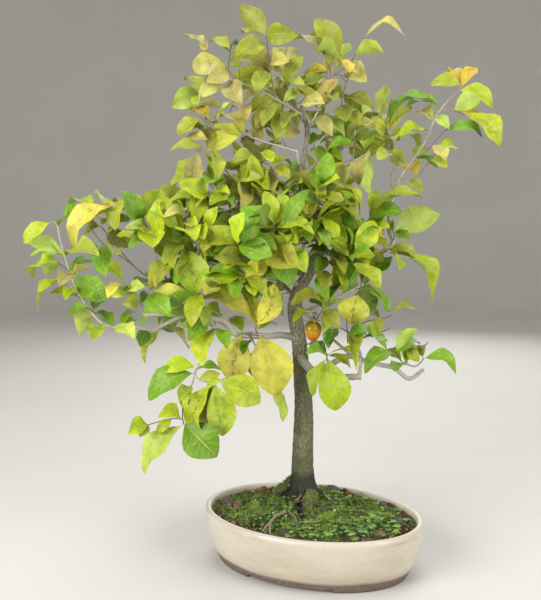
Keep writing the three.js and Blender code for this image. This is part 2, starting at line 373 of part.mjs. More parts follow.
// Leafy stems at the back of the tree: a name, the stem as above, how many leaves it has, and their tone.
const backSprays = [
  ['spray_back_right', [2.8, [40, 328, 88], [50, 334, 104], [60, 338, 122], [66, 336, 140]], 8, 'green'],
  ['spray_back_left', [2.8, [-88, 368, 90], [-104, 374, 104], [-118, 378, 120], [-128, 376, 134]], 8, 'lime'],
  ['spray_back', [2.8, [14, 433, 102], [8, 442, 120], [2, 452, 140], [0, 462, 158]], 8, 'olive'],
  ['spray_back_upper_left', [2.6, [-46, 463, 60], [-62, 472, 76], [-76, 480, 92], [-88, 484, 106]], 7, 'olive'],
  ['spray_back_upper', [2.6, [27, 497, 58], [40, 506, 76], [50, 514, 94], [54, 524, 110]], 7, 'olive'],
  ['spray_back_top', [2.6, [-8, 528, 3], [-16, 542, 28], [-20, 556, 52], [-18, 572, 72]], 6, 'tan'],
  ['spray_back_low_left', [2.6, [-141, 309, 58], [-154, 316, 74], [-166, 320, 90], [-174, 316, 104]], 7, 'green'],
];

// How leaves vary. Lengths and depths are in millimetres, and shares are of the leaf's length.
const leafForm = {
  thickness: 0.7,
  lengthLow: 36,
  lengthSpan: 20,
  breadthShare: 0.46,
  leanMost: 0.7,
  bow: 0.07,
  fold: 0.16,
  roomOthers: 1.6,
  roomOwn: 0.8,
  tries: [0, 6, -6, 12, -12, 18, -18, 25, -25, 33, -33],
};
// The blade's four corners as [share of the length, share of the half breadth], from the base round the tip.
const outline = [[0, 0], [0.48, 1], [1, 0], [0.48, -1]];
const twigTaper = 0.55;
const goldenAngle = Math.PI * (3 - Math.sqrt(5));
const up = new THREE.Vector3(0, 0, 1);

const fruit = { across: 2, up: 282.5, away: -31, radius: 10.3, height: 25, sides: 12, colour: '#d98a1c' };
const calyx = { lobes: 4, lobeLength: 11, lobeWidth: 4.6, thickness: 0.9, stalk: 2, colour: '#93a238' };

// Turns a point of the front view (across, away, up) into the pot's own axes.
function turned(across, away, height) {
  const cos = Math.cos(frontTurn);
  const sin = Math.sin(frontTurn);
  return new THREE.Vector3(across * cos - away * sin, across * sin + away * cos, height);
}

const eye = turned(viewer.across, viewer.away, viewer.up);

function seen(across, height, deeper) {
  const reach = plane - viewer.away;
  return turned(across, plane, height).sub(eye).multiplyScalar((reach + deeper) / reach).add(eye);
}

function seenPath(points) {
  return points.map((point) => seen(...point));
}

// Repeatable draws between 0 and 1.
function makeDraw(start) {
  let state = start;
  return () => {
    state = (state * 48271) % 2147483647;
    return state / 2147483647;
  };
}

// Booleans work on closed solids whose shared corners are merged.
function toSolid(geometry) {
  const bare = geometry.index ? geometry.toNonIndexed() : geometry.clone();
  bare.deleteAttribute('normal');
  bare.deleteAttribute('uv');
  const merged = mergeVertices(bare, 1e-4);
  const corners = merged.attributes.position.array;
  const faces = [];
  for (let i = 0; i < merged.index.count; i += 3) {
    const [a, b, c] = [merged.index.getX(i), merged.index.getX(i + 1), merged.index.getX(i + 2)];
    if (a !== b && b !== c && c !== a) faces.push(a, b, c);
  }
  return new wasm.Manifold(new wasm.Mesh({
    numProp: 3,
    vertProperties: new Float32Array(corners),
    triVerts: new Uint32Array(faces),
  }));
}

function toGeometry(solid) {
  const mesh = largestPart(solid.simplify(0.03)).getMesh();
  const geometry = new THREE.BufferGeometry();
  geometry.setAttribute('position', new THREE.BufferAttribute(mesh.vertProperties, 3));
  geometry.setIndex(new THREE.BufferAttribute(mesh.triVerts, 1));
  geometry.computeVertexNormals();
  return geometry;
}

// Keeps the largest body and drops loose scraps.
function largestPart(solid) {
  return solid.decompose().reduce((best, part) => (part.volume() > best.volume() ? part : best));
}

function overlaps(a, b) {
  const [boxA, boxB] = [a.boundingBox(), b.boundingBox()];
  return [0, 1, 2].every((i) => boxA.min[i] < boxB.max[i] && boxB.min[i] < boxA.max[i]);
}

// A round stem along points with a radius at each: an upright cylinder whose rings are moved onto the path.
function stem(points, radii, sides, flute = () => 1) {
  const steps = points.length - 1;
  const geometry = new THREE.CylinderGeometry(1, 1, 1, sides, steps);
  const position = geometry.attributes.position;
  const frames = [];
  let side = null;
  points.forEach((point, i) => {
    const forward = points[Math.min(i + 1, steps)].clone().sub(points[Math.max(i - 1, 0)]).normalize();
    if (!side) side = new THREE.Vector3(1, 0, 0).cross(forward).lengthSq() > 0.1 ? new THREE.Vector3(1, 0, 0) : up;
    side = side.clone().addScaledVector(forward, -side.dot(forward)).normalize();
    frames.push({ point, side, other: forward.clone().cross(side) });
  });
  for (let i = 0; i < position.count; i += 1) {
    const ring = Math.round((position.getY(i) + 0.5) * steps);
    const { point, side: first, other } = frames[ring];
    const [x, z] = [position.getX(i), position.getZ(i)];
    const radius = radii[ring] * (x || z ? flute(Math.atan2(x, z), ring) : 1);
    const place = point.clone().addScaledVector(other, x * radius).addScaledVector(first, z * radius);
    position.setXYZ(i, place.x, place.y, place.z);
  }
  return toSolid(geometry);
}

function tapered(first, last, count) {
  return Array.from({ length: count }, (unused, i) => THREE.MathUtils.lerp(first, last, i / (count - 1)) / 2);
}

// An oval body: a turned profile whose across size is narrowed by the same amount at every height.
function oval(profile, segments) {
  const geometry = new THREE.LatheGeometry(profile.map(([r, z]) => new THREE.Vector2(r, z)), segments);
  geometry.rotateX(Math.PI / 2);
  const position = geometry.attributes.position;
  const narrowing = pot.halfLength - pot.halfWidth;
  for (let i = 0; i < position.count; i += 1) {
    const [x, y] = [position.getX(i), position.getY(i)];
    const r = Math.hypot(x, y);
    const across = r > 2 * narrowing ? r - narrowing : r / 2;
    if (r > 0) position.setY(i, (y / r) * across);
  }
  return geometry;
}

function block(width, depth, height, x, y, z) {
  return toSolid(new THREE.BoxGeometry(width, depth, height).translate(x, y, z));
}

function makePot() {
  const { halfLength: r, height, floorTop, footInner, footHeight, footGap, drainRadius, drainSpacing } = pot;
  const profile = [
    [0, footHeight], [footInner, footHeight], [footInner, 0], [r - 18, 0], [r - 14, footHeight + 4],
    [r - 7, footHeight + 17], [r - 2.5, height - 24], [r, height - 6], [r - 1.6, height], [r - 7, height],
    [r - 8.5, height - 7], [r - 13, floorTop + 9], [r - 20, floorTop], [0, floorTop],
  ];
  let body = toSolid(oval(profile, pot.segments));
  for (const side of [-1, 1]) {
    const hole = new THREE.CylinderGeometry(drainRadius, drainRadius, 40, 16).rotateX(Math.PI / 2);
    body = body.subtract(toSolid(hole.translate(side * drainSpacing, 0, floorTop)));
  }
  const gapDepth = 3 * pot.halfWidth;
  return body.subtract(block(footGap, gapDepth, 2 * footHeight, 0, 0, 0));
}

function soilHeight(x, y) {
  const edge = Math.hypot(x / 129, y / 91);
  const away = Math.hypot(x - trunkFoot.x, y - trunkFoot.y);
  const mound = soil.mound * Math.exp(-(away ** 2) / (2 * soil.moundRadius ** 2));
  const ripple = soil.ripple * Math.sin(x / 11 + y / 17) * Math.cos(y / 9 - x / 23);
  return soil.rimHeight + (soil.slope + ripple) * Math.max(0, 1 - edge ** 2) + mound;
}

// The soil fills the pot's inside, clear of its wall. Its rings of surface points close in on the trunk.
function makeSoil() {
  const { halfLength: r, height, floorTop } = pot;
  const wall = [
    [0, floorTop + gap], [r - 20 - gap, floorTop + gap], [r - 13 - gap, floorTop + 9],
    [r - 8.6 - gap, soil.rimHeight - 0.9],
  ];
  const surface = [105, 82, 60, 40, 22, 0].map((ring) => [ring, height]);
  const geometry = oval([...wall, ...surface], pot.segments);
  const position = geometry.attributes.position;
  for (let i = 0; i < position.count; i += 1) {
    if (position.getZ(i) === height) {
      const share = 1 - Math.hypot(position.getX(i) / 129, position.getY(i) / 91);
      const x = position.getX(i) + trunkFoot.x * share;
      const y = position.getY(i) + trunkFoot.y * share;
      position.setXYZ(i, x, y, soilHeight(x, y));
    }
  }
  return toSolid(geometry);
}

// A rough stone: a ball of flat faces, each corner pushed in or out by its own draw.
function stoneSolid(x, y, size, shown, grow = 0) {
  const draw = makeDraw(1000 + Math.round(x * 7 + y * 13));
  const geometry = new THREE.IcosahedronGeometry(size / 2, size > 16 ? 1 : 0);
  geometry.deleteAttribute('normal');
  geometry.deleteAttribute('uv');
  const rough = mergeVertices(geometry, 1e-3);
  const position = rough.attributes.position;
  for (let i = 0; i < position.count; i += 1) {
    const corner = new THREE.Vector3().fromBufferAttribute(position, i);
    corner.multiplyScalar(0.84 + 0.3 * draw() + (2 * grow) / size);
    position.setXYZ(i, corner.x, corner.y, corner.z * 0.82);
  }
  const centre = soilHeight(x, y) + size * 0.82 * (shown - 0.5);
  return toSolid(rough.translate(x, y, centre));
}

// The wood's own ridges and flare, stronger near the soil.
function fluting(angle, ring) {
  const flare = ring < 4 ? 0.09 : 0.035;
  return 1 + flare * Math.sin(3 * angle + 1) + 0.5 * flare * Math.sin(5 * angle + ring);
}

function makeWood(grow) {
  const trunkPoints = trunk.map(([across, height, deeper]) => seen(across, height, deeper));
  const trunkRadii = trunk.map(([, , , thickness]) => thickness / 2 + grow);
  let wood = stem(trunkPoints, trunkRadii, 10, fluting);
  for (const [first, last, ...points] of limbs) {
    const path = seenPath(points);
    wood = wood.add(stem(path, tapered(first + 2 * grow, last + 2 * grow, path.length), first > 6 ? 6 : 4));
  }
  for (const [first, last, ...points] of roots) {
    const path = points.map((point) => new THREE.Vector3(...point));
    wood = wood.add(stem(path, tapered(first + 2 * grow, last + 2 * grow, path.length), 4));
  }
  return wood;
}

// The nearest place to a seen point on a stem's twigs, judged in the front view.
function nearestOnTwigs(twigs, across, height) {
  let best = null;
  for (const [thickness, ...points] of twigs) {
    for (let i = 0; i + 1 < points.length; i += 1) {
      const [a, b] = [points[i], points[i + 1]];
      const run = [b[0] - a[0], b[1] - a[1]];
      const length = Math.hypot(...run);
      const along = ((across - a[0]) * run[0] + (height - a[1]) * run[1]) / length ** 2;
      const t = Math.min(Math.max(along, 0), 1 - 1 / length);
      const place = a.map((value, k) => THREE.MathUtils.lerp(value, b[k], t));
      const distance = Math.hypot(place[0] - across, place[1] - height);
      const here = thickness * THREE.MathUtils.lerp(1, twigTaper, (i + t) / (points.length - 1));
      if (!best || distance < best.distance) best = { place, distance, thickness: here, ends: [seen(...a), seen(...b)] };
    }
  }
  return best;
}

// A leaf as it stands: where its outline and midrib lie, and which way its upper side faces.
function shapeLeaf(base, tip, normal, breadth, arch) {
  const length = base.distanceTo(tip);
  const along = tip.clone().sub(base).divideScalar(length);
  const side = normal.clone().cross(along).normalize();
  const place = (share, half) => {
    const bend = 4 * share * (1 - share);
    return base.clone()
      .addScaledVector(along, share * length)
      .addScaledVector(side, (half * breadth) / 2)
      .addScaledVector(arch, bend)
      .addScaledVector(normal, leafForm.bow * length * bend + leafForm.fold * Math.abs(half) * breadth * 0.5);
  };
  return { normal, along, side, place, outline: outline.map(([share, half]) => place(share, half)) };
}

// Where a leaf's base stands: inside its twig, just under the bark on the leaf's own side.
function skinPlace(middle, tip, [a, b], thickness) {
  const along = tip.clone().sub(middle).normalize();
  const slant = Math.max(along.clone().cross(b.clone().sub(a).normalize()).length(), 0.25);
  return middle.addScaledVector(along, Math.max(0, (0.16 * thickness) / slant - 0.18));
}

// A leaf read from the front view. Its tip leans towards or away from the viewer by the length that is not seen.
function readLeaf(row, twigs, extraDepth, chance) {
  const [baseAcross, baseHeight, tipAcross, tipHeight, breadth, archHeight] = row;
  const { place, thickness, ends } = nearestOnTwigs(twigs, baseAcross, baseHeight);
  const run = [tipAcross - place[0], tipHeight - place[1]];
  const seenLength = Math.hypot(...run);
  const wanted = leafForm.lengthLow + leafForm.lengthSpan * chance.length;
  const hidden = Math.sqrt(Math.max(wanted ** 2 - seenLength ** 2, (0.12 * wanted) ** 2));
  const depth = Math.min(hidden, leafForm.leanMost * wanted);
  const topShown = breadth > 0 ? 1 : -1;
  const rising = Math.abs(run[1]) < 0.4 * seenLength ? Math.sign(chance.lean - 0.5) : Math.sign(run[1]) * topShown;
  const tip = seen(tipAcross, tipHeight, place[2] + rising * depth + extraDepth);
  const base = skinPlace(seen(...place), tip, ends, thickness);
  const along = tip.clone().sub(base).normalize();
  const toViewer = eye.clone().sub(base).normalize();
  const facing = toViewer.addScaledVector(along, -toViewer.dot(along)).normalize();
  const flat = along.clone().cross(facing);
  const realBreadth = Math.max(Math.abs(breadth), leafForm.breadthShare * base.distanceTo(tip));
  const roll = Math.acos(Math.min(1, Math.abs(breadth) / realBreadth));
  const lift = flat.z < 0 ? -1 : 1;
  const normal = facing.clone().multiplyScalar(topShown * Math.cos(roll)).addScaledVector(flat, lift * Math.sin(roll));
  return shapeLeaf(base, tip, normal, realBreadth, flat.clone().multiplyScalar(lift * archHeight));
}

// A leaf placed by rule: leaves turn round the stem by the golden angle and droop.
function ruleLeaf([share, turn], [twig], extraDepth, chance) {
  const path = seenPath(twig.slice(1));
  const spot = (0.16 + 0.82 * share) * (path.length - 1);
  const i = Math.min(Math.floor(spot), path.length - 2);
  const base = path[i].clone().lerp(path[i + 1], spot - i);
  const forward = path[i + 1].clone().sub(path[i]).normalize();
  const first = forward.clone().cross(up).normalize();
  const second = first.clone().cross(forward);
  const out = first.multiplyScalar(Math.cos(turn)).addScaledVector(second, Math.sin(turn));
  const along = out.addScaledVector(forward, 0.5).addScaledVector(up, -0.3 - extraDepth / 40).normalize();
  const length = leafForm.lengthLow + leafForm.lengthSpan * chance.length + 4;
  const tip = base.clone().addScaledVector(along, length);
  base.copy(skinPlace(base.clone(), tip, [path[i], path[i + 1]], 2));
  const normal = up.clone().addScaledVector(along, -along.z).normalize();
  const roll = (chance.lean - 0.5) * 1.2;
  normal.applyAxisAngle(along, roll);
  return shapeLeaf(base, tip, normal, length * (0.44 + 0.1 * chance.length), new THREE.Vector3());
}

// Two leaves meet where an edge of one passes through the other, or through a copy of it set off by the room.
function segmentMeets(p, q, a, b, c) {
  const run = q.clone().sub(p);
  const ab = b.clone().sub(a);
  const ac = c.clone().sub(a);
  const across = run.clone().cross(ac);
  const size = ab.dot(across);
  if (Math.abs(size) < 1e-9) return false;
  const from = p.clone().sub(a);
  const first = from.dot(across) / size;
  if (first < 0 || first > 1) return false;
  const turn = from.cross(ab);
  const second = run.dot(turn) / size;
  if (second < 0 || first + second > 1) return false;
  const along = ac.dot(turn) / size;
  return along >= 0 && along <= 1;
}

function rimOf(leaf) {
  return [leaf.place(0.12, 0), ...leaf.outline.slice(1)];
}

function edgesOf(leaf) {
  const rim = rimOf(leaf);
  return [[0, 1], [1, 2], [2, 3], [3, 0], [1, 3], [0, 2]].map(([from, to]) => [rim[from], rim[to]]);
}

function facesOf(leaf, room) {
  const rim = rimOf(leaf);
  return [-room, 0, room].flatMap((offset) => {
    const moved = rim.map((corner) => corner.clone().addScaledVector(leaf.normal, offset));
    return [[moved[1], moved[2], moved[3]], [moved[1], moved[3], moved[0]]];
  });
}

function leavesMeet(a, b, sameStem) {
  const room = sameStem ? leafForm.roomOwn : leafForm.roomOthers;
  const close = new THREE.Box3().setFromPoints(a.outline).expandByScalar(2 * room);
  if (!close.intersectsBox(new THREE.Box3().setFromPoints(b.outline).expandByScalar(2 * room))) return false;
  const hits = (edges, faces) => edges.some(([p, q]) => faces.some((face) => segmentMeets(p, q, ...face)));
  return hits(edgesOf(a), facesOf(b, room)) || hits(edgesOf(b), facesOf(a, room));
}

function leafMeetsPath(leaf, path) {
  const faces = facesOf(leaf, leafForm.roomOthers);
  return path.slice(1).some((point, i) => faces.some((face) => segmentMeets(path[i], point, ...face)));
}

// Short crossed rods through the wood and the fruit, as thick as they are, for finding leaves that enter them.
function woodProbes() {
  const thick = [trunk.map(([across, height, deeper, thickness]) => [across, height, deeper, thickness / 2])];
  for (const [first, last, ...points] of limbs) {
    const radii = tapered(first, last, points.length);
    thick.push(points.map((point, i) => [...point, radii[i]]));
  }
  const { across, up: height, away, radius } = fruit;
  thick.push([-8, 0, 8].map((rise) => [across, height + rise, away, radius - 1]));
  const probes = [];
  for (const run of thick) {
    for (let i = 0; i + 1 < run.length; i += 1) {
      const steps = Math.ceil(Math.hypot(run[i + 1][0] - run[i][0], run[i + 1][1] - run[i][1]) / 8);
      for (let step = 0; step < steps; step += 1) {
        const [a, h, d, r] = run[i].map((value, k) => THREE.MathUtils.lerp(value, run[i + 1][k], step / steps));
        probes.push([seen(a - r, h, d), seen(a + r, h, d)], [seen(a, h, d - r), seen(a, h, d + r)]);
      }
    }
  }
  return probes;
}

function leafMeetsProbes(leaf, probes) {
  const faces = facesOf(leaf, leafForm.roomOwn);
  const box = new THREE.Box3().setFromPoints(leaf.outline).expandByScalar(1);
  return probes.some(([p, q]) => {
    const close = box.containsPoint(p) || box.containsPoint(q) || box.containsPoint(p.clone().lerp(q, 0.5));
    return close && faces.some((face) => segmentMeets(p, q, ...face));
  });
}

// Drops the points of a twig that hardly leave the line between their neighbours.
function thinned(points) {
  const kept = [points[0]];
  points.slice(1, -1).forEach((point, i) => {
    const line = new THREE.Line3(new THREE.Vector3(...kept.at(-1)), new THREE.Vector3(...points[i + 2]));
    const middle = new THREE.Vector3(...point);
    if (line.closestPointToPoint(middle, true, new THREE.Vector3()).distanceTo(middle) > 1.4) kept.push(point);
  });
  return [...kept, points.at(-1)];
}

// Each leaf is tried at a few depths, and stands where it meets the least else.
function placeLeaves() {
  const plans = sprays.map(([name, twigs, leaves]) => ({ name, twigs, leaves, make: readLeaf }));
  for (const [name, twig, count, tone] of backSprays) {
    const leaves = Array.from({ length: count }, (unused, i) => [(i + 1) / count, i * goldenAngle, tone]);
    plans.push({ name, twigs: [twig], leaves, make: ruleLeaf });
  }
  for (const plan of plans) {
    plan.twigs = plan.twigs.reduce((joined, [thickness, first, ...rest]) => {
      const root = joined.length ? nearestOnTwigs(joined, first[0], first[1]).place : first;
      return [...joined, [thickness, ...thinned([root, ...rest])]];
    }, []);
    plan.paths = plan.twigs.map((twig) => seenPath(twig.slice(1)));
  }
  const probes = woodProbes();
  const placed = [];
  for (const plan of plans) {
    const draw = makeDraw(77 + plans.indexOf(plan));
    const otherPaths = plans.filter((other) => other !== plan).flatMap((other) => other.paths);
    const crowding = (leaf) => {
      const leafCount = placed.filter((other) => leavesMeet(leaf, other.leaf, other.plan === plan)).length;
      const pathCount = otherPaths.filter((path) => leafMeetsPath(leaf, path)).length;
      const ownCount = plan.paths.filter((path) => leafMeetsPath(leaf, path)).length;
      return leafCount + pathCount + leafMeetsProbes(leaf, probes) + 0.2 * ownCount;
    };
    plan.grown = plan.leaves.map((row) => {
      const chance = { length: draw(), lean: draw() };
      let best = null;
      for (const extraDepth of leafForm.tries) {
        const leaf = plan.make(row, plan.twigs, extraDepth, chance);
        const crowded = crowding(leaf);
        if (!best || crowded < best.crowded) best = { leaf, crowded };
        if (crowded === 0) break;
      }
      placed.push({ plan, leaf: best.leaf });
      return best.leaf;
    });
  }
  return plans;
}

// A blade: a four-sided plate whose rim is drawn out to the leaf's outline. The middle of each of its ends is
// drawn to a side corner, so the plate is folded across its widest place only.
function bladeSolid(leaf, grow) {
  const geometry = new THREE.CylinderGeometry(1, 1, 1, 4, 1);
  const position = geometry.attributes.position;
  for (let i = 0; i < position.count; i += 1) {
    const [x, y, z] = [position.getX(i), position.getY(i), position.getZ(i)];
    const corner = Math.round(4 - Math.atan2(x, z) / (Math.PI / 2)) % 4;
    const place = leaf.outline[x || z ? corner : 1].clone();
    place.addScaledVector(place.clone().sub(leaf.place(0.5, 0)).normalize(), grow);
    place.addScaledVector(leaf.normal, Math.sign(y) * (leafForm.thickness / 2 + grow));
    position.setXYZ(i, place.x, place.y, place.z);
  }
  return toSolid(geometry);
}

function spraySolid(plan, grow) {
  const parts = plan.twigs.map(([first, ...points]) => {
    const path = seenPath(points);
    return stem(path, tapered(first + 2 * grow, first * twigTaper + 2 * grow, path.length), 3);
  });
  parts.push(...plan.grown.map((leaf) => bladeSolid(leaf, grow)));
  return parts.reduce((whole, part) => whole.add(part));
}

// The fruit: a turned egg shape, a little narrower below.
function fruitSolid(centre) {
  const { radius, height, sides } = fruit;
  const profile = Array.from({ length: 8 }, (unused, i) => {
    const angle = Math.PI * (1 - i / 7);
    const share = Math.sin(angle) * (1 + 0.12 * Math.cos(angle));
    return new THREE.Vector2(i % 7 ? radius * share : 0, (Math.cos(angle) * height) / 2);
  });
  const geometry = new THREE.LatheGeometry(profile, sides).rotateX(Math.PI / 2);
  return toSolid(geometry.translate(centre.x, centre.y, centre.z));
}

// The calyx: four straps that spread from the stalk, bent down over the fruit's shoulder.
function calyxSolid(path) {
  const { lobes, lobeLength, lobeWidth, thickness, stalk } = calyx;
  const [top] = path;
  let whole = stem(path, [stalk * 0.7, stalk / 2, stalk / 2], 5);
  for (let i = 0; i < lobes; i += 1) {
    const geometry = new THREE.CylinderGeometry(1, 1, thickness, 4, 1).rotateY(Math.PI / 2).rotateX(Math.PI / 2);
    const position = geometry.attributes.position;
    for (let k = 0; k < position.count; k += 1) {
      const share = (position.getX(k) + 1) / 2;
      const height = position.getZ(k) - 2.2 * share ** 2;
      position.setXYZ(k, share * lobeLength - 1.4, (position.getY(k) * lobeWidth) / 2, height + 0.3);
    }
    geometry.rotateZ((i + 0.35) * (2 * Math.PI / lobes)).translate(top.x, top.y, top.z);
    whole = whole.add(toSolid(geometry));
  }
  return whole;
}

function meshOf(name, solid, colour, roughness = 0.6) {
  const material = new THREE.MeshStandardMaterial({ color: colour, roughness, metalness: 0 });
  const mesh = new THREE.Mesh(toGeometry(solid), material);
  mesh.name = name;
  return mesh;
}

function meanTone(leaves) {
  const sum = leaves.map((row) => new THREE.Color(tones[row.at(-1)])).reduce((a, b) => a.add(b));
  return sum.multiplyScalar(1 / leaves.length);
}

const persimmonBonsai = new THREE.Group();
const wood = makeWood(0);
const woodRoom = makeWood(gap);

persimmonBonsai.add(meshOf('pot', makePot(), pot.colour, 0.25));

let ground = makeSoil().subtract(woodRoom);
for (const side of [-1, 1]) {
  const name = side < 0 ? 'drain_screen_left' : 'drain_screen_right';
  const x = side * pot.drainSpacing;
  const z = pot.floorTop + gap + screen.thickness / 2;
  const room = screen.side + 2 * gap;
  persimmonBonsai.add(meshOf(name, block(screen.side, screen.side, screen.thickness, x, 0, z), screen.colour));
  ground = ground.subtract(block(room, room, screen.thickness + 3 * gap, x, 0, z));
}
for (const [name, x, y, size, shown, colour] of stones) {
  ground = ground.subtract(stoneSolid(x, y, size, shown, gap));
  persimmonBonsai.add(meshOf(name, stoneSolid(x, y, size, shown), colour, 0.9));
}
persimmonBonsai.add(meshOf('soil', largestPart(ground), soil.colour, 0.95));
persimmonBonsai.add(meshOf('trunk_and_branches', wood, '#8b8973', 0.85));

const fruitCentre = seen(fruit.across, fruit.up, fruit.away);
const fruitTop = fruitCentre.clone().addScaledVector(up, fruit.height / 2 + gap);
const fruitStalk = [fruitTop, seen(3, 301, -28), seen(5, 296.5, -17)];
const calyxPart = calyxSolid(fruitStalk).subtract(woodRoom);
persimmonBonsai.add(meshOf('fruit', fruitSolid(fruitCentre), fruit.colour, 0.15));
persimmonBonsai.add(meshOf('calyx', largestPart(calyxPart), calyx.colour, 0.6));

const rooms = [woodRoom, fruitSolid(fruitCentre), calyxPart];
for (const plan of placeLeaves()) {
  let spray = spraySolid(plan, 0);
  for (const room of rooms) {
    if (overlaps(spray, room)) spray = spray.subtract(room);
  }
  spray = largestPart(spray);
  rooms.push(spraySolid(plan, gap));
  persimmonBonsai.add(meshOf(plan.name, spray, meanTone(plan.leaves), 0.5));
}

const reach = new THREE.Box3().setFromObject(persimmonBonsai).getCenter(new THREE.Vector3());
persimmonBonsai.position.set(-reach.x, -reach.y, 0);

export default persimmonBonsai;
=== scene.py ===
import math

import bmesh
import bpy
import numpy as np
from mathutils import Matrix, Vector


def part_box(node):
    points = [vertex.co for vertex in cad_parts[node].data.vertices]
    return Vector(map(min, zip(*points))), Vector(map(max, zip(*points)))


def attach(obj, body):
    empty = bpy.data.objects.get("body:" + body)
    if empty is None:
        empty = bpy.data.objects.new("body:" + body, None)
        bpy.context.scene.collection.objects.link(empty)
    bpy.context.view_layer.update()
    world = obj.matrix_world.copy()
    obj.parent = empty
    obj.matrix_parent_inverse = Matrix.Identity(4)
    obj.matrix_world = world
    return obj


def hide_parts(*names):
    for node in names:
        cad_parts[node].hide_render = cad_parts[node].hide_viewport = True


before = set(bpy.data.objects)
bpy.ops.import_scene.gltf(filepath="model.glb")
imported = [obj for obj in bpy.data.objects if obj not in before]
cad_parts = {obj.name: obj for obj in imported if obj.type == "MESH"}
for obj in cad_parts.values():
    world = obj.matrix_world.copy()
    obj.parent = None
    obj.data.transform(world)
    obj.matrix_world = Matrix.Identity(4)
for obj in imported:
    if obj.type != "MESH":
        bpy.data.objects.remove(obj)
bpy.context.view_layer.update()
potLow, potHigh = (np.array(corner) * 1000 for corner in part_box("pot"))
potCentre = np.array([*(potLow + potHigh)[:2] / 2, 0])
print("frame loaded, pot centre at", potCentre.round(1))

# Where the tree is seen from
# The tree is laid out as seen from its front: across, up and further away, on an upright plane through
# the trunk. The turn and the tilt are in degrees, the focal length and the frame's height in pixels.
viewer = {
    "across": -50, "away": -974, "up": 429, "turn": 23, "tilt": 6.21,
    "focal": 824, "frame": 600, "plane": 25,
}


def pointsFrom(*values):
    # coordinates that may differ in shape, filled up to one shape and put side by side
    return np.stack(np.broadcast_arrays(*values), -1)


def turned(across, away, height):
    # a point of the front view, in the pot's own axes
    c, s = math.cos(math.radians(viewer["turn"])), math.sin(math.radians(viewer["turn"]))
    return pointsFrom(across * c - away * s, across * s + away * c, height).astype(float)


eye = turned(viewer["across"], viewer["away"], viewer["up"])


def seen(points):
    # across, up, deeper: a deeper point slides along the line of sight, so it keeps its place in the picture
    across, height, deeper = np.moveaxis(np.asarray(points, float), -1, 0)
    reach = viewer["plane"] - viewer["away"]
    return eye + (turned(across, viewer["plane"], height) - eye) * ((reach + deeper) / reach)[..., None]


# Colour, nodes and meshes
def linear(text):
    # sRGB hex to the linear colour that shaders take
    part = np.array([int(text[i : i + 2], 16) for i in (1, 3, 5)]) / 255
    return (*np.where(part <= 0.04045, part / 12.92, ((part + 0.055) / 1.055) ** 2.4).tolist(), 1.0)


def rgb(text):
    # the same colour without its fourth value
    return np.array(linear(text)[:3])


def setInputs(tree, node, inputs):
    # a socket is linked, a hex text becomes its linear colour, and anything else is a plain value
    for key, value in inputs.items():
        if isinstance(value, bpy.types.NodeSocket):
            tree.links.new(value, node.inputs[key])
        else:
            node.inputs[key].default_value = linear(value) if isinstance(value, str) else value


def addNode(tree, kind, inputs=None, output=0, **settings):
    # a node with its settings and links; one of its outputs comes back, by number or name
    node = tree.nodes.new("ShaderNode" + kind)
    for key, value in settings.items():
        setattr(node, key, value)
    setInputs(tree, node, inputs or {})
    return node.outputs[output]


def newMaterial(name):
    # a material, its node tree, its shader, and the place on the object in metres
    material = bpy.data.materials.new(name)
    material.use_nodes = True
    tree = material.node_tree
    return material, tree, tree.nodes["Principled BSDF"], addNode(tree, "TexCoord", output="Object")


def noiseGrid(x, y, z, seed=0):
    # smooth value noise from 0 to 1: eight hashed corners of a unit lattice, blended
    corner = [np.floor(v).astype(np.int64) for v in (x, y, z)]
    ease = [(v - c) ** 2 * (3 - 2 * (v - c)) for v, c in zip((x, y, z), corner)]
    primes = (374761393, 668265263, 2147483629)  # they scatter the values of neighbouring corners
    total = 0
    for steps in np.ndindex(2, 2, 2):
        mixed = sum((c + step) * prime for c, step, prime in zip(corner, steps, primes)) + seed * 9973
        mixed = (mixed ^ (mixed >> 13)) * 1274126177
        value = ((mixed ^ (mixed >> 16)) & 65535) / 65535
        weight = 1
        for part, step in zip(ease, steps):
            weight = weight * (part if step else 1 - part)
        total = total + value * weight
    return total


def flatNoise(x, y, size, seed):
    # the same noise on level ground, in lumps of the given size
    return noiseGrid(x / size, y / size, x * 0, seed)


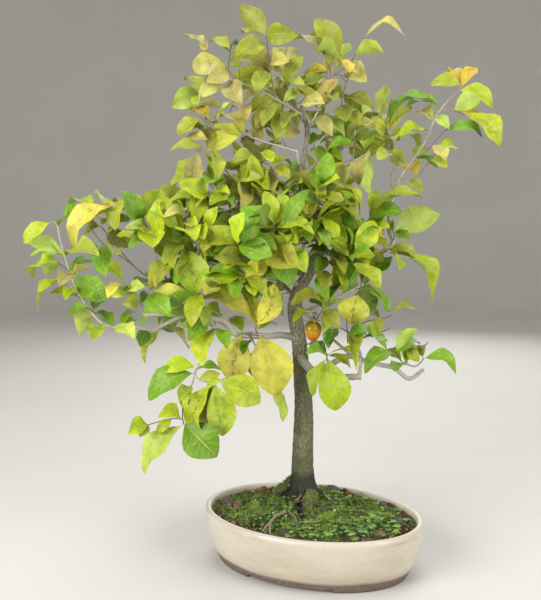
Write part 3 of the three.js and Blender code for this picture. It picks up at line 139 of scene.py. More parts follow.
def makePiece(name, surfaces, material, nodes=(), stage=False, sharpAbove=50):
    # each surface is a batch of grids: points (n, rows, columns, 3), uv, and what its material reads
    allPoints, allFaces, allUv, allColour, allTraits, start = [], [], [], [], [], 0
    for surface in surfaces:
        points = surface["points"]
        count, rows, columns = points.shape[:3]
        index = np.arange(count * rows * columns).reshape(count, rows, columns) + start
        steps = ((0, 0), (0, 1), (1, 1), (1, 0))
        corners = np.stack([index[:, i : rows - 1 + i, j : columns - 1 + j] for i, j in steps], -1)
        # the volume of a closed grid is the sum over its faces of a . (b x c + c x d); below zero the grid
        # is turned round
        centred = points - points.mean((1, 2), keepdims=True)
        a, b, c, d = (centred[:, i : rows - 1 + i, j : columns - 1 + j] for i, j in steps)
        volume = (a * (np.cross(b, c) + np.cross(c, d))).sum((1, 2, 3))
        faces = np.where(volume[:, None, None, None] < 0, corners[..., ::-1], corners).reshape(-1, 4)
        allPoints.append(points.reshape(-1, 3))
        allFaces.append(faces)
        allUv.append(surface.get("uv", np.zeros((count, rows, columns, 2))).reshape(-1, 2))
        for kept, key in ((allColour, "colour"), (allTraits, "traits")):
            kept.append(np.broadcast_to(surface.get(key, np.zeros(3)), points.shape).reshape(-1, 3))
        start += count * rows * columns
    points, faces, uv = (np.concatenate(parts) for parts in (allPoints, allFaces, allUv))
    mesh = bpy.data.meshes.new(name)
    mesh.from_pydata(((points + potCentre) / 1000).tolist(), [], faces.tolist())
    mesh.uv_layers.new(name="surface").data.foreach_set("uv", uv[faces.ravel()].ravel())
    for key, kept in (("shade", allColour), ("traits", allTraits)):
        values = np.concatenate([np.concatenate(kept), np.ones((len(points), 1))], 1)
        mesh.attributes.new(key, "FLOAT_COLOR", "POINT").data.foreach_set("color", values.ravel())
    work = bmesh.new()
    work.from_mesh(mesh)
    bmesh.ops.remove_doubles(work, verts=work.verts, dist=2e-6)
    work.to_mesh(mesh)
    work.free()
    mesh.shade_smooth()
    mesh.set_sharp_from_angle(angle=math.radians(sharpAbove))
    if material:
        mesh.materials.append(material)
    piece = bpy.data.objects.new(name, mesh)
    bpy.context.scene.collection.objects.link(piece)
    if stage:
        return piece
    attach(piece, "root")
    if nodes:
        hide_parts(*nodes)
    return piece


def smoothPath(points, perSpan):
    # a Catmull-Rom curve through the points; with each point may go further values, such as a radius
    points = np.asarray(points, float)
    ends = np.concatenate([2 * points[:1] - points[1:2], points, 2 * points[-1:] - points[-2:-1]])
    t = np.linspace(0, len(points) - 1, (len(points) - 1) * perSpan + 1)
    i = np.minimum(t.astype(int), len(points) - 2)
    t = (t - i)[:, None]
    a, b, c, d = (ends[i + k] for k in range(4))
    return 0.5 * (2 * b + (c - a) * t + (2 * a - 5 * b + 4 * c - d) * t**2 + (3 * b - a - 3 * c + d) * t**3)


def lengthAlong(path):
    # the length from the start of the path to each of its points
    return np.concatenate([[0], np.cumsum(np.linalg.norm(np.diff(path, axis=0), axis=1))])


def readAlong(at, run, rows):
    # the rows at given places of the run, on straight lines between them
    return np.stack([np.interp(at, run, column) for column in rows.T], -1)


def tube(path, radii, around, relief=None):
    # a round profile carried along a path, closed at both ends; uv is millimetres round and along it
    forward = np.gradient(path, axis=0)
    forward /= np.linalg.norm(forward, axis=1, keepdims=True)
    guide = np.eye(3)[np.argmin(np.abs(forward).max(0))]
    side = guide - forward * (forward @ guide)[:, None]
    side /= np.linalg.norm(side, axis=1, keepdims=True)
    other = np.cross(forward, side)
    along = lengthAlong(path)
    angle = np.linspace(0, 2 * np.pi, around + 1)
    radius = np.repeat(radii[:, None], around + 1, 1)
    if relief is not None:
        radius = radius + relief(angle[None, :] % (2 * np.pi), along[:, None])
    ring = np.cos(angle)[None, :, None] * side[:, None] + np.sin(angle)[None, :, None] * other[:, None]
    points = path[:, None] + ring * radius[..., None]
    first, last = (np.repeat(end[:, None], around + 1, 1) for end in (path[:1], path[-1:]))
    points = np.concatenate([first, points, last])
    along = np.concatenate([along[:1], along, along[-1:]])
    size = 2 * np.pi * max(radii.max(), 0.5)
    uv = pointsFrom(angle[None] / (2 * np.pi) * size, along[:, None])
    return {"points": points[None], "uv": uv[None]}


# Studio: a pale bowl-shaped sweep and soft light
# each lamp has its power, its size in metres, and its place as seen from the front: across, away and up
studio = {
    "floor": ("#d2d0cb", "#c8c6c1"),
    "air": "#f1efea",
    "ambient": 0.46,
    "radius": 2600,
    "corner": 1400,
    "wallHeight": 4600,
    "aim": (-0.02, 0, 0.36),
    "lamps": {
        "left": (38, 1.3, (-1280, -1150, 900)),
        "right": (25, 1.3, (1320, -950, 900)),
        "back": (14, 1.8, (300, 1500, 1100)),
        "top": (11, 1.2, (-100, 100, 1900)),
    },
}


def makeStudio():
    # a flat round floor that turns up into a wall on every side: a profile carried round the middle
    curve = np.linspace(0, np.pi / 2, 14)
    flat, corner = studio["radius"], studio["corner"]
    run = np.concatenate([[0, 900, 1800], flat + corner * np.sin(curve), [flat + corner]])[:, None]
    rise = np.concatenate([[0, 0, 0], corner * (1 - np.cos(curve)), [studio["wallHeight"]]])[:, None]
    angle = np.linspace(0, 2 * np.pi, 73)[None]
    points = pointsFrom(run * np.cos(angle), run * np.sin(angle), rise)
    material, tree, shader, place = newMaterial("pale paper sweep")
    grain = addNode(tree, "TexNoise", {"Vector": place, "Scale": 3.0, "Detail": 3.0})
    tint = addNode(tree, "Mix", {0: grain, 6: studio["floor"][0], 7: studio["floor"][1]}, 2, data_type="RGBA")
    setInputs(tree, shader, {"Base Color": tint, "Roughness": 0.85})
    makePiece("sweep", [{"points": points[None]}], material, stage=True)
    centre = potCentre / 1000 + np.array(studio["aim"])
    for name, (power, size, place) in studio["lamps"].items():
        lamp = bpy.data.lights.new(name, "AREA")
        lamp.energy = power
        lamp.shape = "DISK"
        lamp.size = size
        holder = bpy.data.objects.new(name, lamp)
        holder.location = turned(*place) / 1000 + potCentre / 1000
        aim = centre - np.array(holder.location)
        holder.rotation_euler = (math.acos(-aim[2] / np.linalg.norm(aim)), 0, math.atan2(-aim[0], aim[1]))
        bpy.context.scene.collection.objects.link(holder)
    world = bpy.data.worlds.new("soft room")
    world.use_nodes = True
    air = world.node_tree.nodes["Background"]
    setInputs(world.node_tree, air, {"Color": studio["air"], "Strength": studio["ambient"]})
    bpy.context.scene.world = world
    camera = bpy.data.cameras.new("camera")
    camera.sensor_fit = "VERTICAL"
    camera.sensor_height = 24
    camera.lens = camera.sensor_height * viewer["focal"] / viewer["frame"]
    camera.clip_end = 20
    holder = bpy.data.objects.new("camera", camera)
    holder.location = (eye + potCentre) / 1000
    holder.rotation_euler = (math.radians(90 - viewer["tilt"]), 0, math.radians(viewer["turn"]))
    bpy.context.scene.collection.objects.link(holder)
    bpy.context.scene.camera = holder
    bpy.context.scene.view_settings.view_transform = "Standard"


makeStudio()
print("studio and camera")

# Pot: stoneware, cream glaze outside and on the rim, bare clay foot
pot = {
    "halfLength": 137,
    "halfWidth": 99,
    "height": 65,
    "floorTop": 17,
    "footInner": 106,
    "footHeight": 5,
    "footGap": 104,
    "drainRadius": 7,
    "drainSpacing": 52,
    "glazeEnd": 11.5,
    "glaze": "#c3bbab",
    "stain": "#a8916b",
    "crackle": "#7d664c",
    "speck": "#8a6a45",
    "rimLine": "#7a5f42",
    "glazeEdge": "#7b5d43",
    "clay": ("#4e4139", "#88766a"),
}


def oval(profile, around, lift=None):
    # a turned profile, narrowed across by the same amount at every height
    angle = np.linspace(0, 2 * np.pi, around + 1)
    r, z = np.asarray(profile, float).T
    narrowing = pot["halfLength"] - pot["halfWidth"]
    across = np.where(r > 2 * narrowing, r - narrowing, r / 2)
    x, y = r[:, None] * np.cos(angle), across[:, None] * np.sin(angle)
    z = np.repeat(z[:, None], around + 1, 1)
    if lift is not None:
        x, y, z = lift(x, y, z)
    return np.stack([x, y, z], -1)


def glazedStoneware():
    # milky stoneware glaze, fired: a soft gloss, warm where it runs thin, with a fine crackle and a bare
    # clay foot
    material, tree, shader, place = newMaterial("cream glazed stoneware")
    height = addNode(tree, "SeparateXYZ", {0: place}, "Z")
    # the stains lie in level bands, as the glaze ran thin over the turning marks
    level = addNode(tree, "Mapping", {"Vector": place, "Scale": (1.0, 1.0, 2.6)})
    cloud = addNode(tree, "TexNoise", {"Vector": level, "Scale": 10.0, "Detail": 6.0, "Roughness": 0.62})
    speck = addNode(tree, "TexNoise", {"Vector": place, "Scale": 420.0, "Detail": 2.0})
    thin = addNode(tree, "MapRange", {0: cloud, 1: 0.46, 2: 0.74, 3: 0.0, 4: 0.55})
    body = addNode(tree, "Mix", {0: thin, 6: pot["glaze"], 7: pot["stain"]}, 2, data_type="RGBA")
    cells = addNode(tree, "TexVoronoi", {"Vector": place, "Scale": 60.0}, feature="DISTANCE_TO_EDGE")
    crackle = addNode(tree, "MapRange", {0: cells, 1: 0.0, 2: 0.022, 3: 0.1, 4: 0.0})
    high = addNode(tree, "MapRange", {0: height, 1: 0.04, 2: 0.062, 3: 0.12, 4: 1.0})
    crackle = addNode(tree, "Math", {0: crackle, 1: high}, operation="MULTIPLY")
    body = addNode(tree, "Mix", {0: crackle, 6: body, 7: pot["crackle"]}, 2, data_type="RGBA")
    dots = addNode(tree, "MapRange", {0: speck, 1: 0.69, 2: 0.74, 3: 0.0, 4: 0.5})
    body = addNode(tree, "Mix", {0: dots, 6: body, 7: pot["speck"]}, 2, data_type="RGBA")
    # a broken brown line runs round the pot just below its rim
    wobble = addNode(tree, "TexNoise", {"Vector": place, "Scale": 30.0, "Detail": 2.0})
    dirt = addNode(tree, "Math", {0: wobble, 1: 0.004, 2: height}, operation="MULTIPLY_ADD")
    dirt = addNode(tree, "Math", {0: dirt, 1: 0.0603, 2: 0.0009}, operation="COMPARE")
    dirt = addNode(tree, "Math", {0: dirt, 1: thin}, operation="MULTIPLY")
    body = addNode(tree, "Mix", {0: dirt, 6: body, 7: pot["rimLine"]}, 2, data_type="RGBA")
    edge = addNode(tree, "MapRange", {0: wobble, 1: 0.3, 2: 0.7, 3: -0.0009, 4: 0.0009})
    edge = addNode(tree, "Math", {0: height, 1: edge}, operation="ADD")
    glazeEnd = pot["glazeEnd"] / 1000
    glazed = addNode(tree, "MapRange", {0: edge, 1: glazeEnd - 0.001, 2: glazeEnd})
    line = addNode(tree, "MapRange", {0: edge, 1: glazeEnd, 2: glazeEnd + 0.0035, 3: 0.75, 4: 0.0})
    grit = addNode(tree, "TexNoise", {"Vector": place, "Scale": 250.0, "Detail": 4.0})
    clay = addNode(tree, "Mix", {0: grit, 6: pot["clay"][0], 7: pot["clay"][1]}, 2, data_type="RGBA")
    body = addNode(tree, "Mix", {0: line, 6: body, 7: pot["glazeEdge"]}, 2, data_type="RGBA")
    colour = addNode(tree, "Mix", {0: glazed, 6: clay, 7: body}, 2, data_type="RGBA")
    rough = addNode(tree, "MapRange", {0: glazed, 3: 0.85, 4: 0.27})
    relief = addNode(tree, "Math", {0: cloud, 1: 3.0}, operation="MULTIPLY")
    relief = addNode(tree, "Math", {0: relief, 1: grit}, operation="ADD")
    bump = addNode(tree, "Bump", {"Height": relief, "Distance": 0.0004, "Strength": 0.35})
    setInputs(tree, shader, {"Base Color": colour, "Roughness": rough, "Normal": bump, "IOR": 1.5})
    return material


def makePot():
    # a turned profile from the foot ring up over the rim and down to the floor, with both drain holes cut
    r, h, low = pot["halfLength"], pot["height"], pot["floorTop"]
    foot, inner = pot["footHeight"], pot["footInner"]
    outside = smoothPath([[r - 14, foot + 4], [r - 7, foot + 17], [r - 2.5, h - 24], [r, h - 6]], 8)
    rim = [[r, h - 6], [r - 0.4, h - 2.2], [r - 2.6, h], [r - 6.2, h], [r - 8, h - 2.4], [r - 8.5, h - 7]]
    rim = smoothPath(rim, 4)
    inside = smoothPath([[r - 8.5, h - 7], [r - 13, low + 9], [r - 20, low]], 5)
    under = [[0, foot], [inner / 2, foot], [inner, foot], [inner, 0.4]]
    ring = [[inner + 0.8, 0], [r - 18.8, 0], [r - 18, 0.5], [r - 15.5, foot]]
    profile = np.concatenate([under, ring, outside, rim[1:], inside[1:], [[r - 60, low], [0, low]]])

    def lift(x, y, z):
        # the foot ring stops short at the front and the back, and the body leans a little by hand
        share = np.clip((np.abs(x) - pot["footGap"] / 2 + 1.5) / 3, 0, 1)
        z = np.where(z < foot, foot - (foot - z) * share, z)
        wobble = 1 + 0.0022 * np.sin(3 * np.arctan2(y, x) + 0.7) * (z > foot)
        return x * wobble, y * wobble, z

    surface = {"points": oval(profile, 240, lift)[None]}
    piece = makePiece("pot_body", [surface], glazedStoneware(), ["pot"])
    for side in (-1, 1):
        path = np.array([[side * pot["drainSpacing"], 0, z] for z in (-5, 5, 15, 30)], float)
        bore = tube(path, np.full(4, float(pot["drainRadius"])), 32)
        cutter = makePiece(f"drain{side}", [bore], None, stage=True)
        cut = piece.modifiers.new("drain", "BOOLEAN")
        cut.operation = "DIFFERENCE"
        cut.object = cutter
        cut.solver = "EXACT"
        solid = bpy.data.meshes.new_from_object(piece.evaluated_get(bpy.context.evaluated_depsgraph_get()))
        piece.modifiers.clear()
        piece.data = solid
        bpy.data.objects.remove(cutter)


makePot()
print("pot")


# Drain screens: black polypropylene mesh under the soil
screens = {
    "nodes": ("drain_screen_left", "drain_screen_right"),
    "strands": 196.0,
    "tones": ("#0d0e0d", "#3a3d38"),
}


def wovenPlastic():
    # extruded polypropylene mesh, matt black with a low sheen; the strands are 1.6 mm apart
    material, tree, shader, place = newMaterial("black polypropylene mesh")
    strands = {"Vector": place, "Scale": screens["strands"], "Distortion": 0.4}
    waves = [addNode(tree, "TexWave", strands, 1, bands_direction=direction) for direction in ("X", "Y")]
    weave = addNode(tree, "Math", dict(enumerate(waves)), operation="MAXIMUM")
    dark, light = screens["tones"]
    colour = addNode(tree, "Mix", {0: weave, 6: dark, 7: light}, 2, data_type="RGBA")
    bump = addNode(tree, "Bump", {"Height": weave, "Distance": 0.0005})
    setInputs(tree, shader, {"Base Color": colour, "Normal": bump, "Roughness": 0.55})
    return material


screenMaterial = wovenPlastic()
for name in screens["nodes"]:
    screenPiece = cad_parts[name]
    screenPiece.data.materials.clear()
    screenPiece.data.materials.append(screenMaterial)

# Lava stones: they are made last, and the moss keeps off them
# name, place along and across the pot, size, share above the soil, colour
stones = [
    ("stone_left_end", -110, -6, 17, 0.62, "#4c4440"),
    ("stone_left", -93, -14, 12, 0.5, "#6e4a3a"),
    ("stone_back_left", -84, 46, 16, 0.6, "#75493a"),
    ("stone_front", -8, -72, 13, 0.45, "#3d3a39"),
    ("stone_behind_trunk", 2, 70, 22, 0.6, "#5a5750"),
    ("stone_back_right", 74, 60, 14, 0.5, "#5c473e"),
    ("stone_right_end", 106, 14, 15, 0.45, "#4c5144"),
    ("stone_right_front", 96, -32, 13, 0.45, "#735340"),
]
lava = {"flatness": 0.82, "moss": "#6b7328"}

# Soil and moss
soil = {
    "halfLength": 129,
    "halfWidth": 91,
    "wall": [[128, 57], [123.6, 26], [116.6, 17.5], [0, 17.5]],
    "rimHeight": 58.5,
    "slope": 4,
    "mound": 15,
    "moundRadius": 30,
    "ripple": 0.8,
    "lump": 3.4,
    "cover": 3.6,
    "hollows": [(-12, 62, 6), (-13, 54, 5), (-9, 48, 3.5), (-30, 79, 4), (-66, 36, 5), (22, 64, 4)],
    "trunkFoot": (-17, 20),
    "sprigs": 14000,
    "seedlings": 520,
    "crumbs": 620,
    "bare": "#4a3222",
    # painted shade: the near-black colour of the hollows
    "hollowShade": "#0b0d06",
    "wallColour": "#3b2c20",
    "nap": ("#3b3f1c", "#a9b45c"),
    "moss": ("#5c7a17", "#3b5812", "#93a332", "#10170a"),
    "weeds": ("#5c9420", "#78ab2e", "#8fb43a", "#4f8220"),
    "crumb": ("#dcd6c6", "#6b4a33", "#4a382c", "#8a5f45", "#3d3029", "#a07a58"),
}


def wallShare(x, y):
    # 0 at the middle of the soil, and 1 where it meets the pot's wall
    return np.hypot(x / soil["halfLength"], y / soil["halfWidth"])


def soilHeight(x, y):
    # a flat dome, a bell-shaped mound round the trunk, and a slow ripple
    edge = wallShare(x, y)
    away = np.hypot(x - soil["trunkFoot"][0], y - soil["trunkFoot"][1])
    ripple = soil["ripple"] * np.sin(x / 11 + y / 17) * np.cos(y / 9 - x / 23)
    mound = soil["mound"] * np.exp(-(away**2) / (2 * soil["moundRadius"] ** 2))
    return soil["rimHeight"] + (soil["slope"] + ripple) * np.maximum(0, 1 - edge**2) + mound


def onSoil(places, lift=0.0):
    # places of the front view laid on or just over the soil, where each line of sight comes down to it
    across, up = np.asarray(places, float).T
    far = np.linspace(0.85, 1.25, 801)[:, None, None]
    line = eye + (turned(across, viewer["plane"], up) - eye) * far
    first = (line[..., 2] < soilHeight(line[..., 0], line[..., 1]) + 0.5 + lift).argmax(0)
    return line[first, np.arange(len(up))]


hollows = [(*onSoil([place])[0, :2], radius) for *place, radius in soil["hollows"]]


def dip(x, y):
    # 1 in the middle of one of the hollows, and 0 away from them all; the hollows are sunk into the moss and
    # painted near black as shade
    return np.max([np.exp(-(((x - a) ** 2 + (y - b) ** 2) / radius**2)) for a, b, radius in hollows], axis=0)


def offStones(x, y):
    # true where no stone stands
    return np.all([np.hypot(x - stone[1], y - stone[2]) > stone[3] * 0.5 for stone in stones], axis=0)


def mossLift(x, y):
    # cushions of moss: two sizes of soft lumps, a fine grain, and a thicker cover round the trunk's foot
    big = flatNoise(x, y, 17, 3)
    small = flatNoise(x, y, 5.5, 5)
    fine = flatNoise(x, y, 1.9, 8)
    edge = np.clip((1 - wallShare(x, y)) / 0.06, 0, 1)
    near = np.hypot(x - soil["trunkFoot"][0] - 2, y - soil["trunkFoot"][1] + 5)
    cover = soil["cover"] * np.exp(-(((near - 36) / 24) ** 2)) * (0.4 + big)
    lumps = soil["lump"] * ((big - 0.4) * 1.3 + (small - 0.5) * 0.8) * edge
    return lumps + 1.3 * (fine - 0.5) + cover - 6 * dip(x, y)


def ground(x, y):
    # the top of the moss
    return soilHeight(x, y) + mossLift(x, y)


def mossShade(x, y, draw):
    # green cushions with lighter tips and near-black flecks; brown soil shows at the rim and in patches, and
    # painted shade makes the hollows near black
    big = flatNoise(x, y, 26, 21)[..., None]
    small = flatNoise(x, y, 5, 22)[..., None]
    tiny = flatNoise(x, y, 2.1, 23)[..., None]
    bright, green, yellow, dark = (rgb(text) for text in soil["moss"])
    colour = green + (bright - green) * np.clip(big * 2.2 - 0.5, 0, 1)
    colour = colour + (yellow - colour) * np.clip((small * 0.5 + tiny * 0.5 - 0.5) * 3, 0, 0.8)
    colour = colour + (dark - colour) * np.clip((0.46 - tiny * 0.6 - small * 0.4) * 5, 0, 0.9)
    rim = wallShare(x, y)[..., None]
    bare = np.clip((rim - 0.84) * 4 + (flatNoise(x, y, 13, 24)[..., None] - 0.5) * 3, 0, 0.95)
    brown = rgb(soil["bare"]) * (0.3 + 1.4 * tiny)
    colour = colour + (brown - colour) * bare
    # painted shade: the hollows are coloured near black
    colour = colour + (rgb(soil["hollowShade"]) - colour) * np.clip(1.5 * dip(x, y), 0, 0.95)[..., None]
    return colour * (0.75 + 0.5 * draw[..., None])


def mossOnSoil():
    # damp akadama soil under cushion moss: no shine, a fine nap of about half a millimetre
    material, tree, shader, place = newMaterial("moss on damp akadama soil")
    shade = addNode(tree, "Attribute", attribute_name="shade")
    nap = addNode(tree, "TexNoise", {"Vector": place, "Scale": 900.0, "Detail": 3.0})
    tint = addNode(tree, "Mix", {0: nap, 6: soil["nap"][0], 7: soil["nap"][1]}, 2, data_type="RGBA")
    colour = addNode(tree, "Mix", {0: 0.35, 6: shade, 7: tint}, 2, data_type="RGBA", blend_type="OVERLAY")
    bump = addNode(tree, "Bump", {"Height": nap, "Distance": 0.0008, "Strength": 0.8})
    setInputs(tree, shader, {"Base Color": colour, "Normal": bump, "Roughness": 0.9, "Sheen Weight": 0.15})
    return material


def makeSoil():
    # a polar grid: rings from the middle to the wall, then down the wall and under
    draw = np.random.default_rng(11)
    angle = np.linspace(0, 2 * np.pi, 401)
    share = np.sqrt(np.linspace(0, 1, 110))[:, None]
    x = (soil["halfLength"] - 1) * share * np.cos(angle)
    y = (soil["halfWidth"] - 1) * share * np.sin(angle)
    top = pointsFrom(x, y, ground(x, y))
    colour = mossShade(x, y, draw.random(x.shape) * 0.5 + 0.25)
    wall = oval(soil["wall"], 400)
    points = np.concatenate([top, wall])
    colour = np.concatenate([colour, np.broadcast_to(rgb(soil["wallColour"]), wall.shape)])
    surface = {"points": points[None], "colour": colour[None]}
    makePiece("soil_bed", [surface], mossOnSoil(), ["soil"])


def scatter(count, seed, room=0.97):
    # even places over the oval: the square root of an even draw gives even cover
    draw = np.random.default_rng(seed)
    share, angle = np.sqrt(draw.random(count)) * room, draw.random(count) * 2 * np.pi
    x = (soil["halfLength"] - 2) * share * np.cos(angle)
    y = (soil["halfWidth"] - 2) * share * np.sin(angle)
    clear = offStones(x, y)
    return x[clear], y[clear], draw


def makeSprigs():
    # each sprig is a three-sided spike, leaning its own way
    x, y, draw = scatter(soil["sprigs"], 31)
    thick = flatNoise(x, y, 14, 41)
    height = (1.0 + 2.6 * draw.random(len(x)) ** 1.5) * (0.4 + thick)
    radius = 0.3 + 0.35 * draw.random(len(x))
    lean = (draw.random((len(x), 2)) - 0.5) * 1.5
    angle = np.linspace(0, 2 * np.pi, 4)[None, None] + draw.random(len(x))[:, None, None] * 6
    level = np.array([0, 0, 0.55, 1])[None, :, None]
    width = np.array([0, 0.8, 1, 0])[None, :, None] * radius[:, None, None]
    z0 = ground(x, y) - 0.3
    bend = height[:, None, None] * level**1.5
    px = x[:, None, None] + lean[:, :1, None] * bend + width * np.cos(angle)
    py = y[:, None, None] + lean[:, 1:, None] * bend + width * np.sin(angle)
    points = pointsFrom(px, py, z0[:, None, None] + level * height[:, None, None])
    colour = mossShade(x, y, draw.random(len(x)))[:, None, None] * (0.4 + 1.7 * level[..., None])
    makePiece("moss_sprigs", [{"points": points, "colour": colour}], mossOnSoil(), ())


def makeSeedlings():
    # small round-leaved weeds: a few cupped leaflets round a short stem, each a fan of 3 by 4 faces
    x, y, draw = scatter(soil["seedlings"], 47, 0.93)
    keep = flatNoise(x, y, 30, 48) + 0.0026 * x + 0.1 * draw.random(len(x)) > 0.42
    x, y = x[keep], y[keep]
    count, leaflets = len(x), 4
    tall = 1.2 + 5 * draw.random(count) ** 2
    size = (0.8 + 1.5 * draw.random(count) ** 1.3) * np.clip(0.76 + x / 220, 0.55, 1.2)
    turn = draw.random((count, 1)) * 6 + np.arange(leaflets) * 2 * np.pi / leaflets
    turn = (turn + 0.5 * draw.random((count, leaflets)))[..., None, None]
    length = (size[:, None] * (0.7 + 0.5 * draw.random((count, leaflets))))[..., None, None]
    share = np.array([0, 0.3, 0.7, 1])[None, None, :, None]
    half = np.array([-1, -0.4, 0.4, 1])[None, None, None, :]
    out = share * length * 2
    side = half * length * 0.85 * np.sqrt(np.clip(1 - (2 * share - 1.05) ** 2, 0.015, 1))
    rise = tall[:, None, None, None] + length * (0.7 * share - 0.7 * share**2 + 0.12 * half**2)
    px = x[:, None, None, None] + out * np.cos(turn) - side * np.sin(turn)
    py = y[:, None, None, None] + out * np.sin(turn) + side * np.cos(turn)
    pz = ground(x, y)[:, None, None, None] + rise
    points = pointsFrom(px, py, pz).reshape(count * leaflets, 4, 4, 3)
    greens = np.array([rgb(text) for text in soil["weeds"]])
    tint = greens[draw.integers(0, len(greens), count)] * (0.7 + 0.6 * draw.random((count, 1)))
    colour = np.repeat(tint, leaflets, 0)[:, None, None]
    angle = np.linspace(0, 2 * np.pi, 4)[None, None]
    level = np.array([0, 1])[None, :, None]
    stem = pointsFrom(
        x[:, None, None] + 0.22 * np.cos(angle) * (1 - 0.4 * level),
        y[:, None, None] + 0.22 * np.sin(angle) * (1 - 0.4 * level),
        (ground(x, y) - 0.5)[:, None, None] + level * (tall[:, None, None] + 0.6),
    )
    surfaces = [{"points": points, "colour": colour}, {"points": stem, "colour": tint[:, None, None] * 0.8}]
    piece = makePiece("seedlings", surfaces, mossOnSoil(), ())
    wall = piece.modifiers.new("blade", "SOLIDIFY")
    wall.thickness = 0.00015
    wall.offset = 0


def looseGrit():
    # crushed pumice and akadama crumbs: chalky, rough, broken edges
    material, tree, shader, place = newMaterial("pumice and akadama grit")
    shade = addNode(tree, "Attribute", attribute_name="shade")
    grain = addNode(tree, "TexNoise", {"Vector": place, "Scale": 1100.0, "Detail": 3.0})
    mix = {0: 0.5, 6: shade, 7: grain.node.outputs["Color"]}
    colour = addNode(tree, "Mix", mix, 2, data_type="RGBA", blend_type="SOFT_LIGHT")
    bump = addNode(tree, "Bump", {"Height": grain, "Distance": 0.0004})
    setInputs(tree, shader, {"Base Color": colour, "Normal": bump, "Roughness": 0.92})
    return material


def makeCrumbs():
    # each crumb is a squashed ball of 4 by 6 faces with its corners pushed in and out
    x, y, draw = scatter(soil["crumbs"], 51)
    rim = np.clip(wallShare(x, y) * 3 - 2, 0, 1)
    size = 0.5 + (1.2 + 2.6 * rim) * draw.random(len(x)) ** 3
    polar = np.linspace(0, np.pi, 5)[None, :, None]
    angle = np.linspace(0, 2 * np.pi, 7)[None, None, :]
    rough = 0.75 + 0.5 * draw.random((len(x), 5, 6))
    rough[:, (0, -1)] = rough[:, (0, -1), :1]
    rough = np.concatenate([rough, rough[:, :, :1]], 2) * size[:, None, None]
    px = x[:, None, None] + rough * np.sin(polar) * np.cos(angle)
    py = y[:, None, None] + rough * np.sin(polar) * np.sin(angle)
    pz = (ground(x, y) + 0.45 * size)[:, None, None] + 0.8 * rough * np.cos(polar)
    # only the small ones are pale
    tint = np.array([rgb(text) for text in soil["crumb"]])[draw.integers(np.where(size < 1.3, 0, 1), 6)]
    points = pointsFrom(px, py, pz)
    surface = {"points": points, "colour": tint[:, None, None]}
    makePiece("grit", [surface], looseGrit(), (), sharpAbove=30)


makeSoil()
makeSprigs()
makeSeedlings()
makeCrumbs()
print("soil, moss and grit")


# Stones
def lavaRock():
    # porous lava: matt, full of pits of 1 to 2 mm that are painted darker inside as shade, with a little moss
    # in the hollows
    material, tree, shader, place = newMaterial("porous lava rock")
    shade = addNode(tree, "Attribute", attribute_name="shade")
    pits = addNode(tree, "TexVoronoi", {"Vector": place, "Scale": 430.0})
    grain = addNode(tree, "TexNoise", {"Vector": place, "Scale": 380.0, "Detail": 5.0})
    # painted shade: the colour darkens towards the bottom of each pit that the bump sinks
    dark = addNode(tree, "MapRange", {0: pits, 1: 0.15, 2: 0.5, 3: 0.25, 4: 1.35})
    colour = addNode(tree, "VectorMath", {0: shade, 3: dark}, operation="SCALE")
    green = addNode(tree, "MapRange", {0: grain, 1: 0.58, 2: 0.72, 3: 0.0, 4: 0.7})
    colour = addNode(tree, "Mix", {0: green, 6: colour, 7: lava["moss"]}, 2, data_type="RGBA")
    bump = addNode(tree, "Bump", {"Height": pits, "Distance": 0.0012, "Strength": 0.9})
    setInputs(tree, shader, {"Base Color": colour, "Normal": bump, "Roughness": 0.88})
    return material


def makeStones():
    # a ball whose radius is set by two sizes of noise, and flattened
    material = lavaRock()
    polar, angle = np.linspace(0, np.pi, 28)[:, None], np.linspace(0, 2 * np.pi, 45)[None]
    ball = pointsFrom(np.sin(polar) * np.cos(angle), np.sin(polar) * np.sin(angle), np.cos(polar))
    flat = lava["flatness"]
    for name, x, y, size, shown, colour in stones:
        bx, by, bz = (ball[..., i] * 1.6 + x + 7 * i for i in range(3))
        fx, fy, fz = (ball[..., i] * 5.5 + y + 7 * i for i in range(3))
        coarse, fine = noiseGrid(bx, by, bz, 61), noiseGrid(fx, fy, fz, 62)
        radius = size / 2 * (0.78 + 0.42 * coarse + 0.22 * (fine - 0.5))
        centre = np.array([x, y, soilHeight(np.float64(x), np.float64(y)) + size * flat * (shown - 0.5)])
        points = centre + ball * radius[..., None] * (1, 1, flat)
        rock = {"points": points[None], "colour": rgb(colour)}
        makePiece(name + "_rock", [rock], material, [name])


makeStones()
print("stones")

# Wood: trunk, limbs and surface roots
# the trunk's points are across, up, deeper and thickness; a limb has its thickness at both ends, then its
# points; and so has a root, but its points are in the pot's own axes
wood = {
    "ridge": 0.7,
    "limbRidge": 0.22,
    "low": "#6c7049",
    "middle": "#7e8063",
    "bark": "#b4ac98",
    "fissure": "#46472f",
    "wet": "#16130e",
    "lichen": "#a9ab8c",
    "bandHeights": (120, 210, 300),
    "limb": "#c6c1b4",
    "limbLight": "#dcd8cc",
    "limbFissure": "#99937f",
    "root": "#6f6450",
    "rootLight": "#b8ab8f",
    "rootFissure": "#5d523f",
    "rootWet": "#4a4234",
    "stumpDull": "#857f45",
    "stumpSprigs": 700,
}
trunk = [
  [-8, 46, 0, 30], [-8, 71, 0, 39], [-9, 86, 0, 33], [-10, 112, 0, 27.5], [-9, 186, 0, 22.8],
  [-14, 260, 0, 18.5], [-20, 316, 0, 17.5], [-6, 350, 0, 15], [11, 384, 0, 15.5], [8, 402, 0, 13],
  [-1, 425, 0, 12], [-13, 465, 0, 10], [-12, 482, 0, 7.5], [-6, 521, 0, 5.4], [-13, 553, 0, 3.8],
]
